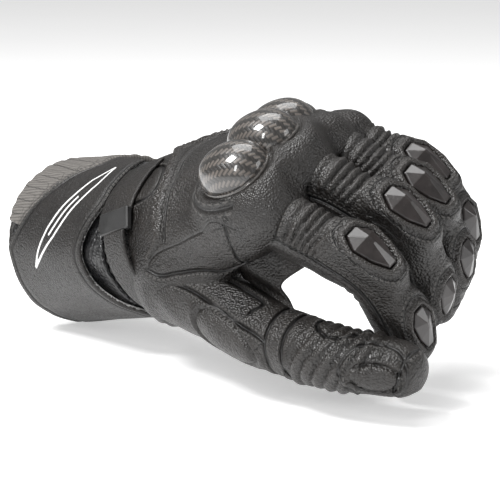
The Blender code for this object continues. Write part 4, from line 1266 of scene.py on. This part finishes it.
# ---- cuff ----
def cuffPoint(along, angle, lift=0.0):
    # an oval that turns and widens along the arm: centre along + turn(roll, pitch, yaw) (0, w cos, h sin)
    along, angle = np.broadcast_arrays(np.asarray(along, float), np.asarray(angle, float))
    t, widen = np.radians(angle), np.maximum(along, 0) ** 0.8
    x = np.zeros(along.shape)
    y, z = (mix(41, 38.5, widen) + lift) * np.cos(t), (mix(30.5, 35.5, widen) + lift) * np.sin(t)
    roll, pitch, yaw = (np.radians(mix(p, q, along)) for p, q in ((28, 0), (-20, -11.2), (0, -5.3)))
    y, z = y * np.cos(roll) - z * np.sin(roll), y * np.sin(roll) + z * np.cos(roll)
    x, z = x * np.cos(pitch) + z * np.sin(pitch), -x * np.sin(pitch) + z * np.cos(pitch)
    x, y = x * np.cos(yaw) - y * np.sin(yaw), x * np.sin(yaw) + y * np.cos(yaw)
    return np.stack([x, y, z], -1) + along[..., None] * np.array([-77.3, 7.1, -15.3])


def closedBand(name, points, material, fields=None):
    # a grid wrapped both ways: each face joins a point, the next on its ring, and the two below them
    index = np.arange(points.shape[0] * points.shape[1]).reshape(points.shape[:2])
    ahead, down = np.roll(index, -1, axis=1), np.roll(index, -1, axis=0)
    quads = np.stack([index, ahead, np.roll(ahead, -1, axis=0), down], -1).reshape(-1, 4)
    verts = points.reshape(-1, 3)
    if volumeSign(verts, [quads]) < 0:
        quads = quads[:, ::-1]
    return addObject(name, verts, [quads], material, fields)


cuffLook = {"start": 0.09, "end": 0.985, "wall": 2.4, "hem": 2.1, "hemSink": 1.2}


def makeCuffShell(look):
    # an outer wall out, round the edge and back inside, rippled by 0.7 noise + 0.5 sin(7 a + 260 u)
    a = np.arange(0, 360, 1.5)
    u = np.linspace(look["start"], look["end"], 76)
    outer = cuffPoint(*np.meshgrid(u, a, indexing="ij"))
    normals = facingOut(outer, gridNormals(outer))
    ripple = 0.7 * smoothNoise(cuffPoint(u[:, None], a[None]), 15, 12)
    ripple = ripple + 0.5 * np.sin(np.radians(a[None] * 7 + 260 * u[:, None])) * window(a[None], 130, 220, 25)
    outer = outer + normals * ripple[..., None]
    inner = cuffPoint(*np.meshgrid(u[::-1], a, indexing="ij"), -look["wall"])
    points = np.concatenate([outer, inner])
    blank = {key: np.zeros(points.shape[:2]) for key in ("run", "near", "up", "down", "dip", "crest")}
    blank["seam"] = np.full(points.shape[:2], farFromSeam)
    piece = closedBand("cuffSkin", points, leathers["lining leather"], blank)
    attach(piece, "cuff")
    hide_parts("cuff_shell")


def makeHem(look):
    # bound edge, a round roll over the open end: centre + r (cos q) outward + r (sin q) across, where the
    # stitches pinch r by a twentieth, forty times round
    a = np.arange(0, 360, 1.0)
    centreLine = cuffPoint(1.0, a, -look["hemSink"])
    radius = look["hem"] * (1 + 0.05 * np.sin(np.radians(a * 40)))
    ahead = unit(np.roll(centreLine, -1, axis=0) - np.roll(centreLine, 1, axis=0))
    outward = unit(centreLine - centreLine.mean(0))
    across = unit(np.cross(ahead, outward))
    q = np.linspace(0, 2 * np.pi, 20, endpoint=False)[None, :, None]
    ring = np.cos(q) * outward[:, None] + np.sin(q) * across[:, None]
    points = centreLine[:, None] + radius[:, None, None] * ring
    piece = closedBand("cuffHemRoll", points, leathers["flap leather"])
    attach(piece, "cuff")
    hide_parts("cuff_hem")


makeCuffShell(cuffLook)
makeHem(cuffLook)


def flapFront(a):
    # front edge as a share of the cuff, cut back round 166 degrees by 0.17 (half of 1 + cos)^0.72
    off = np.minimum(1, np.abs(a - 166) / 52)
    return 0.07 + 0.17 * (0.5 * (1 + np.cos(np.pi * off))) ** 0.72


def flapRear(a):
    # rear edge, which runs back in a straight line from 0.42 at 90 degrees to 0.94 at 175
    return mix(0.42, 0.94, np.clip((a - 90) / 85, 0, 1))


def cuffBand(a, front, rear, lift, rows):
    # rows spaced evenly from the front edge to the rear one at each angle
    along = mix(front[None], rear[None], np.linspace(0, 1, rows)[:, None])
    return cuffPoint(along, np.broadcast_to(a[None], along.shape), lift), along


flapLook = {
    "arc": (76, 254), "grid": (210, 84), "lift": 3.1, "thickness": 2.2, "inset": 2.4, "ease": 1.05,
    # the slim dart: its spine, its half width, half the width of its stroke, and its tapering ends
    "spine": [(0.70, 184), (0.55, 160), (0.40, 134), (0.26, 108), (0.20, 90)],
    "dart": 3.6, "stroke": 0.62, "bar": 0.6, "ends": (22, 12), "barEnds": (20, 22),
}


def makeFlap(look):
    # the closing flap, with a plain dart drawn in outline: half width = dart min(1, run / first, rest / last)
    a = np.linspace(*look["arc"], look["grid"][0])
    grid, _ = cuffBand(a, flapFront(a), flapRear(a), look["lift"], look["grid"][1])
    normals = gridNormals(grid, wrapped=False)
    fields, lift = edgeFields(grid, look["inset"], columns=(False, True))
    spine = smoothLine(look["spine"], 70)
    dart, _ = lineFields(grid, normals, [{"path": cuffPoint(spine[:, 0], spine[:, 1], look["lift"])}])
    run, away = dart["run"], np.abs(dart["seam"])
    rest = run.max() - run
    taper = np.maximum(0, np.minimum(1, np.minimum(run / look["ends"][0], rest / look["ends"][1])))
    stroke = look["stroke"] - np.abs(away - look["dart"] * taper)
    bar = np.minimum(look["bar"] - away, np.minimum(run - look["barEnds"][0], rest - look["barEnds"][1]))
    fields["mark"] = np.maximum(np.where(taper > 0.02, stroke, -1.0), bar)
    grid = grid + normals * (0.35 * smoothNoise(grid, 22, 21))[..., None]
    piece = sheetPiece("cuffFlap", grid, look["thickness"], markedLeather, fields, lift * 0.8)
    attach(piece, "flap")
    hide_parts("cuff_flap")
    sheetArea(grid)


makeFlap(flapLook)

panelLook = {
    "arc": (38, 156), "grid": (170, 60), "gap": 0.012, "rear": 0.945, "lift": 3.0, "thickness": 2.4,
    "rib": 9.6, "ribHeight": 0.55,
    # quilting lines from the rear edge to the front, as (share of the cuff, angle)
    "rears": [(0.90, 152), (0.86, 141), (0.90, 131), (0.78, 118), (0.86, 105), (0.90, 94), (0.92, 82), (0.9, 70), (0.9, 58)],
    "fronts": [(0.84, 150), (0.70, 138), (0.60, 126), (0.53, 114), (0.50, 104), (0.50, 92), (0.48, 80), (0.47, 68), (0.47, 54)],
}


def makeShockPanel(look):
    # a padded band behind the flap: ribs of height |sin(180 a / rib)|, quilted along the lines
    a = np.linspace(*look["arc"], look["grid"][0])
    rear = np.full(a.shape, look["rear"])
    grid, along = cuffBand(a, flapRear(a) + look["gap"], rear, look["lift"], look["grid"][1])
    lines = []
    t = np.linspace(0, 1, 30)
    for rear, front in zip(look["rears"], look["fronts"]):
        lines.append({"path": cuffPoint(mix(rear[0] + 0.05, front[0], t), mix(rear[1], front[1], t), 4.2)})
    lines.append({"path": grid[4], "up": 1, "down": 0, "dip": 0.6})
    fields, lift = lineFields(grid, gridNormals(grid, wrapped=False), lines)
    fields["weaveU"] = np.broadcast_to((a * 0.66)[None], along.shape) - along * 22
    fields["weaveV"] = along * 79
    ribs = look["ribHeight"] * np.abs(np.sin(np.radians(a * 180 / look["rib"])))[None]
    piece = sheetPiece("cuffShockPad", grid, look["thickness"], shockFabric, fields, lift + ribs)
    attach(piece, "cuff")
    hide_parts("cuff_shock_panel")


makeShockPanel(panelLook)

gatherLook = {"start": (0.03, -0.6), "end": (0.12, -1.4), "squeeze": 0.045, "rings": 0.012, "pleat": 0.5, "pleats": 40, "wall": 1.5}


def makeElastic(look):
    # gathered sleeve between hand and cuff: rings blended from one oval to the other, narrowed in the
    # middle, with pleats sin(40 a) that run along the arm
    a = np.arange(0, 360, 1.0)
    start = handLocal(*np.meshgrid([look["start"][0]], a, indexing="ij"), look["start"][1])[0] @ handTurn.T
    end = cuffPoint(look["end"][0], a, look["end"][1])
    t = np.linspace(0, 1, 40)[:, None, None]
    grid = mix(start[None], end[None], t)
    middle = grid.mean(axis=1, keepdims=True)
    squeeze = look["squeeze"] * np.sin(np.pi * t) - look["rings"] * np.cos(t * 2 * np.pi * 4)
    grid = middle + (grid - middle) * (1 - squeeze)
    normals = facingOut(grid, gridNormals(grid))
    pleats = look["pleat"] * np.sin(np.radians(a * look["pleats"]))[None] * np.sin(np.pi * t[..., 0]) ** 0.5
    outer = grid + normals * pleats[..., None]
    points = np.concatenate([outer, (grid - normals * look["wall"])[::-1]])
    v = np.concatenate([t[:, 0, 0], t[::-1, 0, 0]]) * 12
    fields = {
        "weaveU": np.broadcast_to((a * 0.63)[None], points.shape[:2]),
        "weaveV": np.broadcast_to(v[:, None], points.shape[:2]),
        "seam": np.full(points.shape[:2], farFromSeam),
    }
    piece = closedBand("wristGather", points, elasticFabric, fields)
    end.mean(0) * metresPerMm
    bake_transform(piece)
    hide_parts("wrist_elastic")


makeElastic(gatherLook)
print("glove: cuff made")

webLook = {"finger": (-6, 21), "thumb": (26, 60), "thumbRise": (15.5, 13.2), "sag": -10.0, "wave": 1.2, "thickness": 1.5, "ease": 1.03}


def makeWeb(look):
    # a saddle from the palm side of the index finger to the top of the thumb: straight across, pulled
    # back towards the wrist by sag sin(pi t)
    bones = fingerSkeleton("index", fingerLooks["index"])
    back = unit(np.cross(bones["lower"], bones["side"]))
    thumbUp = unit(np.cross(thumbAlong, np.array([0, 1.0, 0])))
    thumbUp = thumbUp * np.sign(thumbUp[2])
    q = np.linspace(0, 1, 30)[:, None]
    upper = bones["corners"][1] + bones["lower"] * mix(*look["finger"], q) - bones["side"] * 5.0 - back * 12.4
    lower = thumbBase + thumbAlong * mix(*look["thumb"], q) + np.array([0, 4.5, 0])
    lower = lower + thumbUp * mix(*look["thumbRise"], q)
    t = np.linspace(0, 1, 46)[None, :, None]
    grid = mix(upper[:, None], lower[:, None], t) + np.array([look["sag"], 0, 0]) * np.sin(np.pi * t)
    grid = grid + np.array([0, look["wave"], 0]) * np.sin(np.pi * 3 * t)
    fields, lift = edgeFields(grid, 2.2, rows=(False, True))
    piece = sheetPiece("thumbWeb", grid, look["thickness"], leathers["palm leather"], fields, lift)
    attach(piece, "hand")
    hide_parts("web_gusset")
    sheetArea(grid)


makeWeb(webLook)
print("glove: web made")

# ---- floor, lights and camera ----
floorPaint = Paint("pale floor")
floorPlace = floorPaint.place()
floorTone = floorPaint.noise(floorPlace, 160.0, 2.0)
floorPaint.set("Base Color", floorPaint.blend(floorTone, (0.86, 0.86, 0.86), (0.9, 0.9, 0.9)))
floorPaint.set("Roughness", 0.8)
floorPaint.set("Emission Color", (1.0, 1.0, 1.0))
floorPaint.set("Emission Strength", 0.42)
bpy.ops.mesh.primitive_plane_add(size=6, location=(0, 0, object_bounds()[0][2] - 0.002))
floor = bpy.context.object
floor.name = "floor"
floor.data.materials.append(floorPaint.material)

world = bpy.data.worlds.new("studio")
world.use_nodes = True
world.node_tree.nodes["Background"].inputs["Color"].default_value = (1, 1, 1, 1)
# the room looks white to the eye, and lights the glove at under a third of that
seen = world.node_tree.nodes.new("ShaderNodeLightPath").outputs["Is Camera Ray"]
strength = world.node_tree.nodes.new("ShaderNodeMapRange")
strength.inputs["To Min"].default_value = 0.27
strength.inputs["To Max"].default_value = 1.0
world.node_tree.links.new(seen, strength.inputs["Value"])
world.node_tree.links.new(strength.outputs["Result"], world.node_tree.nodes["Background"].inputs["Strength"])
bpy.context.scene.world = world

lights = {
    "key": {"place": (-0.15, -0.62, 0.95), "size": (0.4, 0.4), "watts": 17.0},
    "strip": {"place": (0.42, -0.9, 0.55), "size": (0.14, 0.4), "watts": 3.5},
    "top": {"place": (-0.25, 0.25, 1.2), "size": (0.9, 0.7), "watts": 9.0},
    "side": {"place": (1.0, 0.5, 0.35), "size": (0.4, 0.7), "watts": 4.0},
}
aim = Vector((0.05, 0.0, 0.0))
for name, light in lights.items():
    data = bpy.data.lights.new(name, "AREA")
    data.shape = "RECTANGLE"
    data.size, data.size_y = light["size"]
    data.energy = light["watts"]
    lamp = bpy.data.objects.new(name, data)
    lamp.location = light["place"]
    lamp.rotation_euler = (aim - lamp.location).to_track_quat("-Z", "Y").to_euler()
    bpy.context.scene.collection.objects.link(lamp)

bpy.context.scene.view_settings.view_transform = "Standard"
view = {"back": (0.7054, -0.6820, 0.1929), "target": (0.06, 0.0, 0.0), "distance": 0.934, "lens": 154.6}
lens = bpy.data.cameras.new("camera")
lens.lens = view["lens"]
lens.sensor_width = 36
lens.shift_x, lens.shift_y = -0.033, 0.002
camera = bpy.data.objects.new("camera", lens)
camera.location = Vector(view["target"]) + Vector(view["back"]) * view["distance"]
camera.rotation_euler = (-Vector(view["back"])).to_track_quat("-Z", "Y").to_euler()
bpy.context.scene.collection.objects.link(camera)
bpy.context.scene.camera = camera
print("glove: floor, lights and camera set")
